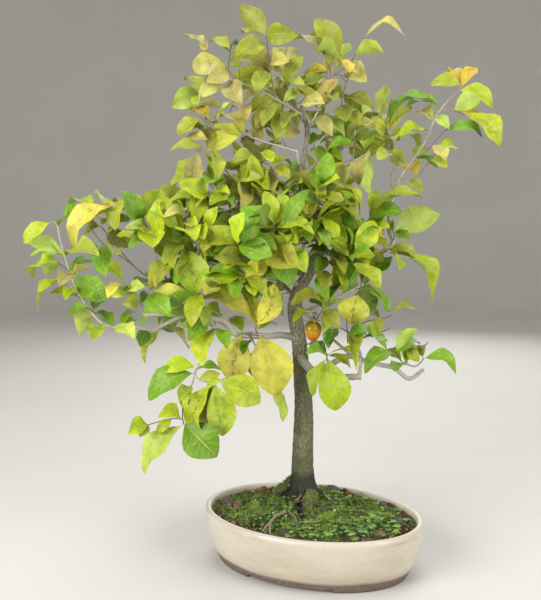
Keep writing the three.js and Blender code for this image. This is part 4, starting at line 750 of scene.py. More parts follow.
limbs = [
  [8.8, 4.3, [-14, 272, 0], [-35, 277, -8], [-55, 276, -17], [-92, 278, -30], [-107, 294, -38],
    [-150, 302, -50], [-178, 303, -55], [-205, 302, -60]],
  [5, 3.4, [-152, 302, -50], [-168, 296, -53], [-196, 281, -58]],
  [4.2, 2.8, [-150, 302, -50], [-160, 322, -46], [-175, 341, -42]],
  [7, 3.4, [-12, 463, 0], [-30, 471, -3], [-60, 480, -9], [-84, 493, -14]],
  [5, 3, [-6, 440, 0], [-30, 438, -12], [-70, 444, -25]],
  [5, 3, [-2, 426, 0], [-35, 424, -8], [-93, 425, -18]],
  [8, 4.4, [-14, 338, 0], [-35, 348, -20], [-65, 355, -40], [-138, 368, -48]],
  [4, 2.6, [-12, 480, 0], [-17, 488, -2], [-18, 501, -3]],
  [11, 7.5, [-16, 254, 0], [-9, 244, -12], [0, 234, -16], [15, 227, -18], [35, 225, -18], [62, 225, -20]],
  [8, 4.6, [4, 231, -16], [22, 240, -12], [45, 251, -8], [62, 246, -8], [85, 240, -8], [102, 236, -8],
    [121, 223, -9], [139, 234, -10]],
  [3.6, 2.8, [50, 251, -8], [20, 278, -14], [10, 291, -16], [-12, 306, -14], [-24, 318, -6]],
  [5, 3, [59, 226, -19], [61, 248, -20], [55, 264, -18], [44, 269, -16]],
  [8, 3.6, [11, 384, 0], [28, 391, 10], [65, 380, 24], [84, 379, 28], [98, 390, 31], [93, 405, 34],
    [95, 434, 36], [106, 470, 40]],
  [7, 4, [-12, 466, 0], [10, 473, 6], [48, 486, 17]],
  [5.5, 3, [8, 398, -2], [-12, 392, -22], [-32, 386, -44], [-44, 386, -55]],
  [7, 3.6, [-18, 302, 4], [4, 311, 36], [42, 328, 90]],
  [6.5, 3.4, [-18, 322, 4], [-42, 344, 38], [-90, 368, 92]],
  [6.5, 3.4, [9, 392, 4], [16, 408, 42], [14, 434, 104]],
  [5, 3, [-5, 446, 4], [-25, 456, 34], [-48, 464, 62]],
  [5, 3, [-13, 474, 3], [8, 486, 34], [28, 498, 60]],
  [5, 3, [-92, 278, -28], [-108, 290, 8], [-142, 310, 60]],
]
roots = [
  [9, 2.4, [-22, 4, 80], [-27, -12, 69.5], [-28, -32, 65.5], [-36, -66, 58]],
  [10, 2.6, [-10, 6, 80], [4, 0, 72.5], [28, 10, 66.5], [44, 14, 61]],
  [8, 2.6, [-18, 4, 79], [-16, -14, 71], [-4, -40, 61.5]],
  [10, 3, [-2, 24, 80], [12, 32, 72], [36, 50, 60]],
  [11, 3, [-34, 14, 80], [-46, 6, 71], [-74, -4, 59.5]],
  [9, 3, [-30, 34, 79], [-42, 48, 68], [-54, 56, 60.5]],
]


def agedBark(name, light, dark, wet, finer, dampBelow=0.116):
    # dry persimmon bark: matt, cut into small plates by a net of dark fissures, with pale lichen, and wet
    # near the soil
    material, tree, shader, place = newMaterial(name)
    shade = addNode(tree, "Attribute", attribute_name="shade")
    # fissures: upright dashes about 0.5 mm wide and 2 mm long, and finer hairs between them
    stretch = (900.0 * finer, 900.0 * finer, 270.0 * finer)
    long = addNode(tree, "Mapping", {"Vector": place, "Scale": stretch})
    dash = addNode(tree, "TexNoise", {"Vector": long, "Scale": 1.0, "Detail": 2.0, "Distortion": 0.6})
    hair = addNode(tree, "TexNoise", {"Vector": long, "Scale": 2.6, "Detail": 3.0, "Roughness": 0.6})
    patch = addNode(tree, "TexNoise", {"Vector": place, "Scale": 38.0, "Detail": 3.0})
    level = addNode(tree, "MapRange", {0: dash, 1: 0.41, 2: 0.57, 3: 0.22, 4: 1.0})
    body = addNode(tree, "Mix", {0: level, 6: dark, 7: shade}, 2, data_type="RGBA")
    pale = addNode(tree, "MapRange", {0: patch, 1: 0.5, 2: 0.7, 3: 0.0, 4: 0.6})
    pale = addNode(tree, "Math", {0: pale, 1: level}, operation="MULTIPLY")
    body = addNode(tree, "Mix", {0: pale, 6: body, 7: light}, 2, data_type="RGBA")
    tone = addNode(tree, "MapRange", {0: hair, 1: 0.3, 2: 0.7, 3: 0.72, 4: 1.2})
    body = addNode(tree, "VectorMath", {0: body, 3: tone}, operation="SCALE")
    height = addNode(tree, "SeparateXYZ", {0: place}, "Z")
    damp = addNode(tree, "Math", {0: patch, 1: 0.035, 2: height}, operation="MULTIPLY_ADD")
    damp = addNode(tree, "MapRange", {0: damp, 1: dampBelow, 2: dampBelow + 0.009, 3: 0.84, 4: 0.0})
    colour = addNode(tree, "Mix", {0: damp, 6: body, 7: wet}, 2, data_type="RGBA")
    relief = addNode(tree, "Math", {0: hair, 1: 0.5, 2: level}, operation="MULTIPLY_ADD")
    bump = addNode(tree, "Bump", {"Height": relief, "Distance": 0.0006, "Strength": 0.7})
    rough = addNode(tree, "MapRange", {0: damp, 3: 0.86, 4: 0.62})
    setInputs(tree, shader, {"Base Color": colour, "Roughness": rough, "Normal": bump})
    return material


def barkRelief(size, depth, seed):
    # ridges that run up the stem and close into a net: ridged noise, stretched along it, over swellings
    swell, reach = (0.06, 26) if size > 8 else (0.24, 8)

    def relief(angle, along):
        ring = size / 2.2
        a = noiseGrid(np.cos(angle) * ring, np.sin(angle) * ring, along / 5.5 + 0 * angle, seed)
        b = noiseGrid(np.cos(angle) * 1.5, np.sin(angle) * 1.5, along / reach + 0 * angle, seed + 1)
        return depth * (1.5 * np.abs(2 * a - 1) - 0.7) + swell * size * (b - 0.5)

    return relief


def woodTube(points, radii, perSpan, around, depth, seed):
    # a smooth path through the points, with the bark's relief in its surface
    path = smoothPath(np.concatenate([points, np.asarray(radii, float)[:, None]], 1), perSpan)
    # even steps along the stem
    step = lengthAlong(path[:, :3])
    even = np.linspace(0, step[-1], len(path))
    path = readAlong(even, step, path)
    surface = tube(path[:, :3], path[:, 3], around, barkRelief(max(radii), depth, seed))
    return surface, path


woodPaths = []


def makeWood():
    # the trunk and its roots are one piece, and the limbs are another
    table = np.array(trunk, float)
    surface, path = woodTube(seen(table[:, :3]), table[:, 3] / 2, 26, 120, wood["ridge"], 71)
    woodPaths.append(path)
    # the foot spreads into lobes towards its roots, and is torn and knobbly just above the soil
    points = surface["points"]
    axis = readAlong(points[..., 2], path[:, 2], path[:, :2])
    out = points[..., :2] - axis
    heading = np.arctan2(out[..., 1], out[..., 0])
    low = np.exp(-(np.clip(points[..., 2] - 74, 0, 99) / 14) ** 2)[..., None]
    knobs = noiseGrid(points[..., 0] / 3, points[..., 1] / 3, points[..., 2] / 3.5, 77)[..., None]
    lobes = 0.5 + 0.5 * np.cos(6 * heading + 0.6)[..., None]
    points[..., :2] += out * low * (0.2 * lobes + 0.44 * (knobs - 0.5))
    bands = np.array([rgb(wood[key]) for key in ("low", "middle", "bark")])
    surface["colour"] = readAlong(points[..., 2], wood["bandHeights"], bands)
    parts = [surface]
    for i, (first, last, *points) in enumerate(roots):
        points = np.array(points, float)
        radii = np.linspace(first * 1.1, last, len(points)) / 2.3
        surface, _ = woodTube(points, radii, 30, 30, 0.35, 80 + i)
        paler = 0.7 + 0.9 * np.linspace(0, 1, surface["points"].shape[1])[None, :, None, None]
        surface["colour"] = rgb(wood["root"]) * paler
        parts.append(surface)
    bark = agedBark("aged persimmon bark", wood["lichen"], wood["fissure"], wood["wet"], 1.0)
    makePiece("trunk", parts, bark, ["trunk_and_branches"], sharpAbove=80)
    parts = []
    for i, (first, last, *points) in enumerate(limbs):
        points = seen(points)
        radii = np.linspace(first, last, len(points)) / 2
        surface, path = woodTube(points, radii, 14, 22, wood["limbRidge"] * min(1, first / 6), 90 + i)
        woodPaths.append(path)
        surface["colour"] = rgb(wood["limb"])
        parts.append(surface)
    young = agedBark("grey persimmon limb bark", wood["limbLight"], wood["limbFissure"], wood["wet"], 1.6)
    makePiece("limbs", parts, young, (), sharpAbove=80)


# what shows round the trunk's foot, read from the front: thickness at both ends, colour, lift, places
fineRoots = [
    [4.6, 3.0, "#9c917a", 3.4, (-9, 80), (-11, 75), (-14, 71), (-19, 67)],
    [3.2, 2.6, "#4a443b", 5.0, (-21, 65), (-12, 67), (-4, 66.5), (4, 64), (12, 61.5), (21, 58.5)],
    [3.8, 2.6, "#a3967b", 3.2, (12, 82), (17, 76), (22, 72), (27, 68)],
    [2.6, 2.0, "#8f846c", 3.0, (-22, 85), (-28, 82), (-33, 80), (-38, 78)],
    [4.2, 2.2, "#b39f80", 3.6, (-31, 53.5), (-37, 50.5), (-43, 48), (-48, 42), (-54, 35), (-60, 28)],
    [2.8, 1.8, "#b39f80", 3.2, (-47, 43), (-50, 37), (-51, 30), (-50, 24)],
    [2.8, 2.0, "#a08b6c", 3.4, (-27, 54), (-23, 50), (-19, 45), (-17, 40)],
    [1.8, 1.4, "#a3977a", 3.0, (-14, 40), (-4, 39.5), (6, 40), (14, 42)],
]
# the mossy stump and buttress at the trunk's foot: points across, deeper and up, with a radius each, and
# the colour
mounds = [
    [[(-1, -44, 52, 3), (0, -37, 57, 6), (0, -30, 64, 7.5), (1, -23, 72, 7), (1, -17, 80, 4.5)],
     "#6d7634"],
    [[(-20, 2, 103, 1), (-25, 0, 96, 2.2), (-31, -3, 89, 3.2), (-38, -6, 83, 4), (-46, -9, 78, 4)],
     "#56682a"],
]


def makeFoot():
    # dead sticks and thin half-buried roots: tubes that arch a little out of the soil between their ends
    parts = []
    for i, (first, last, colour, lift, *places) in enumerate(fineRoots):
        points = onSoil(places, lift + (lift - 0.4) * np.sin(np.linspace(0, np.pi, len(places)) ** 0.9))
        surface, _ = woodTube(points, np.linspace(first, last, len(points)) / 2, 12, 12, 0.12, 120 + i)
        surface["colour"] = rgb(colour)
        parts.append(surface)
    bark = agedBark("bare root bark", wood["rootLight"], wood["rootFissure"], wood["rootWet"], 1.6, 0.02)
    makePiece("fine_roots", parts, bark, (), sharpAbove=80)
    # the stump and the buttress: short fat tubes roughened by three sizes of noise, with painted shade in
    # their dents, and sprigs on them
    draw = np.random.default_rng(140)
    count, around = wood["stumpSprigs"], 48
    parts, sprigs = [], []
    for places, colour in mounds:
        places = np.array(places, float)
        path = smoothPath(np.concatenate([seen(places[:, (0, 2, 1)]), places[:, 3:]], 1), 8)
        surface = tube(path[:, :3], path[:, 3], around)
        grid = surface["points"][0]
        middle = np.concatenate([path[:1, :3], path[:, :3], path[-1:, :3]])[:, None]
        x, y, z = np.moveaxis(grid, -1, 0)
        rough = 0.5 * noiseGrid(x / 6, y / 6, z / 6, 141) + 0.3 * noiseGrid(x / 2.5, y / 2.5, z / 2.5, 142)
        grid[:] = middle + (grid - middle) * (0.62 + rough + 0.25 * noiseGrid(x, y, z, 143))[..., None]
        dull, bright = (rgb(text) for text in (wood["stumpDull"], colour))
        blend = np.clip(2 * noiseGrid(x / 3, y / 3, z / 3, 144) - 0.4, 0, 1)[..., None]
        # painted shade: the colour darkens where the noise pulls the surface in, so the dents look shaded
        surface["colour"] = ((dull + (bright - dull) * blend) * (0.45 + 0.9 * rough[..., None]))[None]
        parts.append(surface)
        pick = draw.integers(1, len(grid) - 1, count), draw.integers(0, around, count)
        root, out = grid[pick], grid[pick] - np.broadcast_to(middle, grid.shape)[pick]
        out /= np.linalg.norm(out, axis=1, keepdims=True) + 1e-9
        out = out + [0, 0, 0.5] + 0.6 * draw.normal(size=root.shape)
        sprigs.append((root, out, np.repeat([rgb(colour)], count, 0)))
    root, out, colour = (np.concatenate(column) for column in zip(*sprigs))
    side = np.cross(out, draw.normal(size=out.shape))
    side /= np.linalg.norm(side, axis=1, keepdims=True)
    other = np.cross(out, side)
    other /= np.linalg.norm(other, axis=1, keepdims=True)
    angle = np.linspace(0, 2 * np.pi, 4)[None, None, :, None]
    level = np.array([0, 0, 0.5, 1])[None, :, None, None]
    width = np.array([0, 0.36, 0.4, 0])[None, :, None, None]
    length = 0.7 + 1.3 * draw.random((len(root), 1, 1, 1))
    points = root[:, None, None] - 0.3 * out[:, None, None] + out[:, None, None] * level * length
    points = points + width * (np.cos(angle) * side[:, None, None] + np.sin(angle) * other[:, None, None])
    tint = colour[:, None, None] * (0.5 + 1.4 * level) * (0.6 + 0.9 * draw.random((len(root), 1, 1, 1)))
    parts.append({"points": points, "colour": tint})
    makePiece("mossy_stump", parts, mossOnSoil(), (), sharpAbove=80)


makeWood()
makeFoot()
print("trunk, limbs and roots")

# Leafy stems
# Read from the front: a name, then its twigs as [thickness at the root, points across, up and away], then
# its leaves as [base across, base up, tip across, tip up, breadth as seen, arch, tone]. A leaf whose
# breadth is below zero shows its underside.
sprays = [
  ["spray_left_reach",
    [[3, [-194,281,-58], [-215,287,-62], [-235,289,-64], [-255,291,-66], [-264,303,-68], [-272,316,-68],
    [-287,336,-70], [-295,366,-72], [-303,388,-74], [-308,412,-72], [-315,415,-72]], [1.8,
    [-290,350,-71], [-300,360,-74], [-309,366,-76]], [1.6, [-264,303,-68], [-270,309,-74],
    [-276,311,-78]]],
    [[-315,415, -347,388, 15,3, "lime"], [-300,374, -343,391, -18,2, "pale"], [-304,371, -342,375, 7,2,
    "pale"], [-307,367, -342,353, 9,3, "lime"], [-308,366, -320,347, -14,1, "pale"], [-291,352,
    -306,339, 16,1, "tan"], [-290,345, -337,307, 6,8, "lime"], [-287,334, -300,318, 10,1, "lime"],
    [-276,322, -262,327, 7,1, "olive"], [-295,370, -262,381, 8,2, "olive"], [-293,358, -262,366, 7,1,
    "green"], [-290,350, -271,361, -10,1, "tan"], [-287,345, -249,321, 28,3, "green"], [-266,307,
    -283,282, -20,2, "pale"], [-258,293, -268,269, 18,1, "lime"], [-270,309, -298,303, 12,1, "green"],
    [-268,309, -256,319, 12,1, "green"], [-240,290, -262,305, 12,1, "green"], [-232,289, -215,308, 10,1,
    "green"], [-231,289, -212,298, 9,1, "lime"], [-244,290, -218,275, 16,1, "pale"], [-200,283,
    -211,261, 16,1, "deep"]]],
  ["spray_left_arch",
    [[2.6, [-174,340,-43], [-181,354,-45], [-190,375,-46], [-195,400,-46], [-198,415,-46],
    [-212,424,-48], [-228,431,-50], [-251,433,-50], [-271,426,-52]], [1.6, [-179,350,-45],
    [-176,358,-40], [-174,366,-38]]],
    [[-238,433, -291,383, 22,14, "yellow"], [-226,431, -272,412, 10,3, "gold"], [-262,429, -292,440,
    8,1, "lime"], [-252,432, -262,449, 6,1, "pale"], [-268,427, -308,407, 9,4, "green"], [-205,419,
    -240,441, 14,3, "olive"], [-199,416, -182,453, 26,3, "lime"], [-197,412, -183,434, 12,1, "olive"],
    [-195,410, -192,383, 32,2, "lime"], [-195,399, -221,387, 13,1, "green"], [-196,405, -222,411, 12,1,
    "pale"], [-174,366, -187,398, 22,2, "olive"], [-177,354, -191,339, 8,1, "yellow"], [-178,352,
    -197,348, 5,2, "olive"]]],
  ["spray_left_twigs",
    [[2.4, [-166,330,-45], [-186,341,-38], [-200,350,-41], [-215,361,-45], [-232,384,-48],
    [-243,396,-50], [-255,410,-52]], [1.8, [-215,361,-45], [-225,369,-52], [-248,385,-58],
    [-258,395,-61], [-265,406,-62], [-264,421,-62]]],
    [[-255,409, -274,403, 13,1, "lime"], [-257,410, -262,426, 9,1, "lime"], [-245,399, -223,385, -20,2,
    "olive"], [-243,402, -217,419, 11,2, "lime"], [-190,345, -217,331, 9,2, "deep"], [-263,418,
    -279,430, 10,1, "lime"], [-248,387, -241,372, 9,1, "olive"]]],
  ["spray_left_crown",
    [[3, [-137,367,-48], [-138,388,-50], [-150,401,-52], [-152,412,-53], [-151,424,-54]], [2.2,
    [-138,377,-49], [-150,382,-44], [-163,391,-40], [-178,401,-36], [-187,405,-34]]],
    [[-151,423, -128,470, 20,-3, "pale"], [-152,421, -177,441, 20,2, "lime"], [-150,420, -119,443, 22,2,
    "olive"], [-151,415, -184,402, 20,4, "olive"], [-151,414, -137,410, 12,1, "lime"], [-152,413,
    -162,413, 5,1, "lime"], [-149,401, -127,402, 14,1, "tan"], [-152,424, -158,453, 8,2, "lime"],
    [-150,418, -119,428, 8,1, "green"], [-152,423, -177,424, 10,4, "tan"], [-143,394, -166,391, 8,2,
    "deep"], [-155,385, -171,362, 8,-2, "olive"], [-159,388, -134,396, 8,2, "deep"], [-180,402,
    -196,420, 13,1, "lime"]]],
  ["spray_left_fork",
    [[2.2, [-206,303,-60], [-213,322,-60], [-221,333,-62], [-229,341,-64]]],
    [[-228,340, -261,363, 12,5, "lime"], [-228,338, -249,326, 9,1, "yellow"], [-225,336, -243,325, 14,1,
    "pale"], [-221,333, -205,337, 12,1, "pale"], [-212,318, -228,316, 15,1, "olive"], [-211,316,
    -196,327, 12,1, "green"], [-214,323, -236,331, 11,2, "lime"]]],
  ["spray_low_left",
    [[3.4, [-122,299,-44], [-120,286,-54], [-122,272,-60], [-130,258,-64], [-138,242,-68],
    [-143,228,-70], [-135,220,-74], [-120,219,-78], [-104,223,-80]], [2.2, [-143,230,-70],
    [-148,213,-74], [-157,197,-78], [-159,180,-80], [-158,165,-82]], [1.8, [-158,172,-81],
    [-175,172,-84], [-190,168,-86], [-207,163,-88]]],
    [[-143,229, -204,198, 27,6, "green"], [-142,236, -183,232, 18,7, "lime"], [-156,216, -163,194, 14,1,
    "olive"], [-149,216, -155,182, 12,2, "deep"], [-119,214, -143,147, 24,7, "lime"], [-116,210,
    -130,154, 27,2, "lime"], [-116,205, -109,150, 32,3, "rimmed"], [-157,168, -117,124, 41,0, "green"],
    [-160,164, -212,104, 23,2, "pale"], [-162,174, -190,174, 16,6, "lime"], [-199,166, -226,153, 18,5,
    "lime"], [-200,163, -213,150, 11,0, "olive"], [-172,166, -192,153, 11,1, "lime"], [-112,210,
    -62,193, 34,3, "lime"], [-108,214, -128,214, 9,2, "lime"], [-111,288, -133,238, 21,3, "lime"],
    [-138,232, -112,236, 7,1, "green"], [-134,226, -112,229, 12,1, "olive"], [-120,286, -103,262, 14,2,
    "green"]]],
  ["spray_yellow_front",
    [[2.8, [-50,277,-14], [-58,277,-22], [-64,278,-26], [-76,281,-31], [-88,278,-35]], [1.8,
    [-64,278,-26], [-68,283,-34], [-67,289,-38]], [1.6, [-76,281,-31], [-68,262,-22], [-57,236,-16],
    [-49,213,-14]]],
    [[-86,277, -97,217, 38,3, "spotted"], [-63,277, -42,200, 48,4, "yellow"], [-48,204, -34,168, 13,1,
    "pale"], [-82,256, -68,221, 16,1, "pale"], [-73,272, -84,252, 10,1, "green"], [-68,288, -137,326,
    19,9, "yellow"], [-68,287, -74,324, 20,2, "yellow"], [-67,288, -45,341, 26,-6, "yellow"], [-66,283,
    -41,295, 12,1, "lime"], [-85,279, -98,301, 16,1, "lime"], [-64,252, -46,240, 12,1, "green"]]],
  ["spray_mid_left",
    [[2.6, [-131,301,-44], [-136,312,-54], [-140,322,-62], [-136,331,-68]]],
    [[-139,322, -152,381, 36,2, "lime"], [-137,329, -84,351, 20,4, "lime"], [-137,316, -131,290, 13,1,
    "pale"], [-158,324, -196,322, 28,3, "spotted"], [-139,330, -172,304, 30,1, "green"], [-136,331,
    -111,343, -13,2, "pale"], [-136,300, -150,272, 24,1, "green"], [-139,326, -197,335, 11,5, "olive"],
    [-135,310, -112,303, 14,2, "lime"]]],
  ["spray_mid_front",
    [[2.6, [-67,356,-40], [-72,366,-56], [-84,374,-66], [-93,384,-72]], [2, [-71,363,-53],
    [-78,353,-66], [-83,345,-72]]],
    [[-84,347, -56,378, 21,-3, "yellow"], [-78,351, -69,327, 18,1, "lime"], [-81,373, -117,371, 20,3,
    "olive"], [-91,384, -127,371, 8,-2, "green"], [-80,352, -130,355, 12,3, "green"], [-71,363, -44,346,
    14,2, "green"], [-87,380, -60,388, 14,2, "lime"], [-92,384, -136,387, 16,7, "lime"], [-81,347,
    -56,325, 14,2, "olive"], [-83,345, -92,319, 14,1, "green"], [-77,370, -60,397, 12,2, "lime"]]],
  ["spray_mid_drop",
    [[2.6, [-92,425,-18], [-100,428,-23], [-97,415,-28], [-98,405,-30], [-103,391,-32]]],
    [[-101,427, -105,474, 16,2, "pale"], [-99,427, -129,408, 12,7, "lime"], [-97,413, -120,411, 22,2,
    "pale"], [-97,416, -89,401, 9,1, "lime"], [-99,404, -62,408, 12,4, "green"], [-101,397, -74,392,
    12,2, "green"], [-102,394, -135,384, 15,4, "lime"], [-99,404, -118,395, 13,1, "deep"], [-99,427,
    -78,414, 11,2, "lime"]]],
  ["spray_upper_left",
    [[2.8, [-69,444,-25], [-75,450,-27], [-88,459,-30], [-95,466,-33], [-105,480,-36], [-112,490,-38],
    [-120,498,-40], [-129,502,-42], [-139,499,-43]], [1.6, [-95,466,-33], [-107,448,-40],
    [-127,449,-44]], [1.4, [-110,448,-41], [-118,454,-46], [-125,463,-48]], [1.6, [-127,502,-42],
    [-122,517,-44], [-123,536,-44]]],
    [[-137,499, -143,455, 22,2, "tan"], [-139,499, -171,453, 10,-6, "olive"], [-135,500, -110,450, 5,2,
    "lime"], [-122,499, -112,470, 14,1, "olive"], [-96,467, -84,432, 10,2, "tan"], [-84,457, -71,432,
    16,1, "olive"], [-90,461, -65,470, 12,2, "olive"], [-104,479, -72,481, 16,3, "olive"], [-103,477,
    -78,488, 8,1, "lime"], [-129,502, -171,501, 10,3, "olive"], [-127,504, -136,535, 18,2, "olive"],
    [-124,511, -150,516, 10,1, "tan"], [-117,494, -119,478, 11,1, "olive"], [-123,535, -148,548, 10,2,
    "gold"], [-126,449, -146,458, 13,1, "lime"], [-107,449, -96,436, 9,1, "green"]]],
  ["spray_upper_gold",
    [[2.8, [-17,499,-3], [-35,503,-8], [-50,508,-12], [-65,513,-16], [-80,519,-18], [-86,515,-20]],
    [1.6, [-50,508,-12], [-60,499,-20], [-72,494,-24]]],
    [[-85,516, -128,501, 20,4, "yellow"], [-82,518, -116,541, 12,6, "yellow"], [-81,519, -122,522, 8,2,
    "pale"], [-62,511, -79,526, 14,1, "tan"], [-71,495, -94,489, 14,1, "olive"], [-40,504, -52,524,
    14,1, "olive"], [-62,498, -48,486, 12,1, "lime"]]],
  ["spray_inner_left",
    [[2, [-44,474,-8], [-50,481,-16], [-56,485,-20], [-64,486,-24]]],
    [[-51,482, -24,484, 8,4, "lime"], [-58,485, -86,478, 9,3, "lime"], [-63,486, -84,468, 16,2,
    "olive"], [-48,479, -27,466, 13,1, "olive"], [-60,485, -66,462, 11,1, "green"]]],
  ["spray_top_left",
    [[3, [-12,540,0], [-25,548,-4], [-38,557,-8], [-50,563,-12], [-62,570,-16], [-80,577,-20],
    [-100,583,-24], [-112,588,-26], [-120,596,-28], [-123,608,-28], [-127,618,-28]], [1.8,
    [-82,578,-20], [-95,588,-28], [-100,597,-32], [-97,617,-34]], [1.6, [-85,579,-21], [-92,562,-16],
    [-98,545,-14]], [1.6, [-104,584,-25], [-118,573,-22], [-130,564,-21]], [2.4, [-38,557,-8],
    [-47,575,-6], [-48,590,-5], [-51,605,-4], [-55,632,-3]], [1.8, [-25,548,-4], [-30,565,4],
    [-33,588,8]]],
    [[-127,618, -153,633, 7,2, "tan"], [-126,616, -120,629, 6,1, "tan"], [-97,616, -119,629, 12,1,
    "olive"], [-98,612, -90,626, 7,1, "deep"], [-100,598, -145,598, 24,4, "tan"], [-98,592, -124,581,
    20,2, "tan"], [-104,584, -133,564, 20,3, "tan"], [-130,564, -167,551, 24,5, "pale"], [-129,565,
    -152,588, 14,2, "lime"], [-129,564, -137,553, 8,1, "lime"], [-98,547, -148,540, 9,4, "tan"],
    [-96,552, -78,541, 9,2, "tan"], [-55,631, -86,668, -24,3, "olive"], [-55,627, -84,641, 17,2,
    "olive"], [-53,618, -92,612, 20,3, "olive"], [-54,628, -21,633, 24,4, "olive"], [-33,587, -30,619,
    31,2, "tan"], [-50,600, -100,602, 13,6, "olive"], [-49,596, -98,574, 25,4, "olive"], [-48,589,
    -69,567, 18,2, "olive"], [-44,569, -30,580, 15,1, "tan"], [-64,571, -82,559, 8,1, "tan"], [-32,553,
    -14,568, 14,2, "pale"], [-20,546, -36,526, 14,1, "olive"], [-45,561, -76,545, 16,3, "olive"],
    [-36,556, -60,532, 16,2, "olive"], [-112,588, -112,606, 13,1, "olive"], [-51,606, -30,605, 16,1,
    "tan"]]],
  ["spray_top_centre",
    [[3.2, [-7,524,0], [3,540,6], [10,560,10], [20,580,14], [25,600,16], [33,611,16]], [1.8,
    [19,578,14], [21,592,8], [15,605,4]], [1.8, [22,586,15], [42,600,24], [50,612,28], [60,630,30]]],
    [[34,611, 2,652, 26,4, "olive"], [31,609, 5,622, -20,2, "pale"], [60,629, 111,634, 8,11, "tan"],
    [47,607, 84,613, -18,6, "pale"], [28,604, 44,592, 7,1, "gold"], [15,604, -24,631, 12,6, "tan"],
    [16,603, 1,638, 14,2, "olive"], [20,594, -9,586, 12,2, "yellow"], [6,549, 34,566, 14,3, "olive"],
    [3,541, 23,518, 17,2, "tan"], [10,560, -15,567, 14,2, "olive"], [14,570, 28,557, 12,1, "olive"],
    [38,597, 62,590, 14,2, "tan"]]],
  ["spray_top_inner",
    [[2.6, [-9,497,0], [4,505,8], [12,515,13], [30,530,18], [33,550,20], [36,565,20], [43,588,21]]],
    [[34,556, 40,534, 22,1, "olive"], [42,585, 65,580, 14,2, "tan"], [33,549, 56,527, 14,2, "olive"],
    [28,528, -3,524, 10,3, "olive"], [35,562, 14,578, 13,1, "olive"], [13,516, -8,508, 12,1, "green"],
    [31,538, 52,548, 13,2, "olive"]]],
  ["spray_right_top",
    [[3.2, [105,468,40], [122,490,42], [135,512,44], [150,545,48], [165,562,50], [177,575,52]], [2,
    [153,549,48], [168,547,45], [180,543,42]], [1.8, [122,490,42], [137,500,36], [155,520,30],
    [170,533,28]]],
    [[156,552, 89,533, 9,16, "green"], [153,549, 110,550, 6,6, "green"], [175,573, 139,576, 16,6,
    "olive"], [177,575, 162,597, 16,1, "gold"], [176,574, 193,596, 16,1, "gold"], [172,570, 216,553,
    18,5, "lime"], [167,548, 200,560, -22,5, "pale"], [174,545, 203,533, 8,3, "gold"], [179,543,
    226,504, 22,6, "lime"], [145,534, 123,549, 14,2, "tan"], [144,508, 158,487, 15,1, "tan"], [157,522,
    205,517, 13,7, "green"], [121,488, 150,482, 7,2, "deep"], [132,507, 126,484, -20,1, "pale"],
    [139,521, 101,515, 10,4, "lime"], [148,541, 162,528, 14,1, "pale"]]],
  ["spray_right_side",
    [[2.4, [101,459,38], [113,463,32], [128,472,28], [138,485,24], [149,499,20]]],
    [[114,464, 132,452, 12,1, "olive"], [126,471, 106,481, 12,2, "gold"], [148,498, 172,503, 13,2,
    "lime"], [140,488, 162,478, 12,2, "olive"]]],
  ["spray_right_inner",
    [[2.4, [98,446,37], [95,466,44], [98,485,48], [92,500,52], [90,515,54], [87,530,55], [74,545,55]]],
    [[92,502, 111,482, -20,1, "pale"], [90,519, 119,549, 16,3, "yellow"], [88,525, 99,549, 10,1,
    "lime"], [90,513, 131,505, 8,6, "lime"], [89,520, 72,532, 10,1, "yellow"], [90,512, 51,481, 22,5,
    "lime"], [93,498, 77,488, 15,1, "pale"], [75,544, 38,562, 14,5, "olive"], [80,539, 87,576, 16,-3,
    "pale"]]],
  ["spray_right_limb",
    [[2.6, [46,485,17], [56,490,20], [64,496,23], [70,504,26]], [1.8, [49,487,18], [50,505,20],
    [56,520,22]], [1.8, [50,490,18], [38,486,4], [26,484,-4], [8,482,-12]]],
    [[50,509, 20,505, 10,3, "green"], [51,510, 20,533, 14,4, "green"], [37,486, 12,497, 12,2, "green"],
    [63,495, 55,460, 18,1, "tan"], [26,484, 39,455, 24,1, "tan"], [69,502, 68,448, -20,1, "pale"],
    [9,482, 3,505, 14,1, "green"], [9,482, 7,454, 12,1, "green"], [55,518, 74,529, 13,2, "olive"]]],
  ["spray_centre_front",
    [[2.6, [-42,386,-54], [-47,389,-60], [-46,402,-66], [-45,412,-68]]],
    [[-46,411, -57,452, 18,1, "lime"], [-45,412, -30,448, 20,2, "lime"], [-46,408, -65,433, 16,2,
    "lime"], [-46,407, -47,437, 4,1, "yellow"], [-46,406, 4,404, 14,7, "lime"], [-47,391, -18,362,
    34,-4, "olive"], [-46,389, -25,338, 29,2, "green"], [-46,398, -13,389, 16,4, "lime"], [-45,411,
    -11,419, 6,10, "lime"], [-46,396, -70,387, 15,2, "green"]]],
  ["spray_centre",
    [[2.8, [-4,434,-2], [2,436,-14], [6,441,-22], [17,450,-30]], [2, [1,436,-12], [-3,426,-24],
    [-3,416,-30]], [1.6, [-3,420,-28], [4,410,-36], [3,402,-38]]],
    [[-3,417, -5,443, 17,1, "yellow"], [-3,418, -21,429, 9,3, "gold"], [-3,419, 13,433, 9,3, "yellow"],
    [2,412, 62,410, 13,20, "olive"], [3,409, 25,405, 11,2, "yellow"], [16,449, 59,421, 7,15, "lime"],
    [8,442, 41,436, 11,4, "olive"], [5,440, -38,457, 14,18, "olive"], [3,404, 20,387, 13,3, "green"],
    [3,403, -22,398, 14,2, "green"], [3,403, 10,389, 9,1, "lime"], [-2,424, -24,410, 12,2, "green"],
    [2,437, -20,446, 12,2, "green"]]],
  ["spray_right_centre",
    [[2.4, [45,387,16], [53,396,6], [59,405,0], [67,417,-6]], [1.6, [52,395,8], [42,396,-2],
    [32,398,-8]]],
    [[67,417, 137,443, 11,10, "olive"], [66,414, 112,429, 18,3, "green"], [56,400, 93,398, 24,2,
    "spotted"], [59,406, 41,386, -18,2, "pale"], [42,396, 26,385, 10,1, "pale"], [33,398, 23,420, 11,1,
    "green"], [50,393, 40,346, 29,2, "rimmed"], [58,403, 44,419, 14,1, "lime"]]],
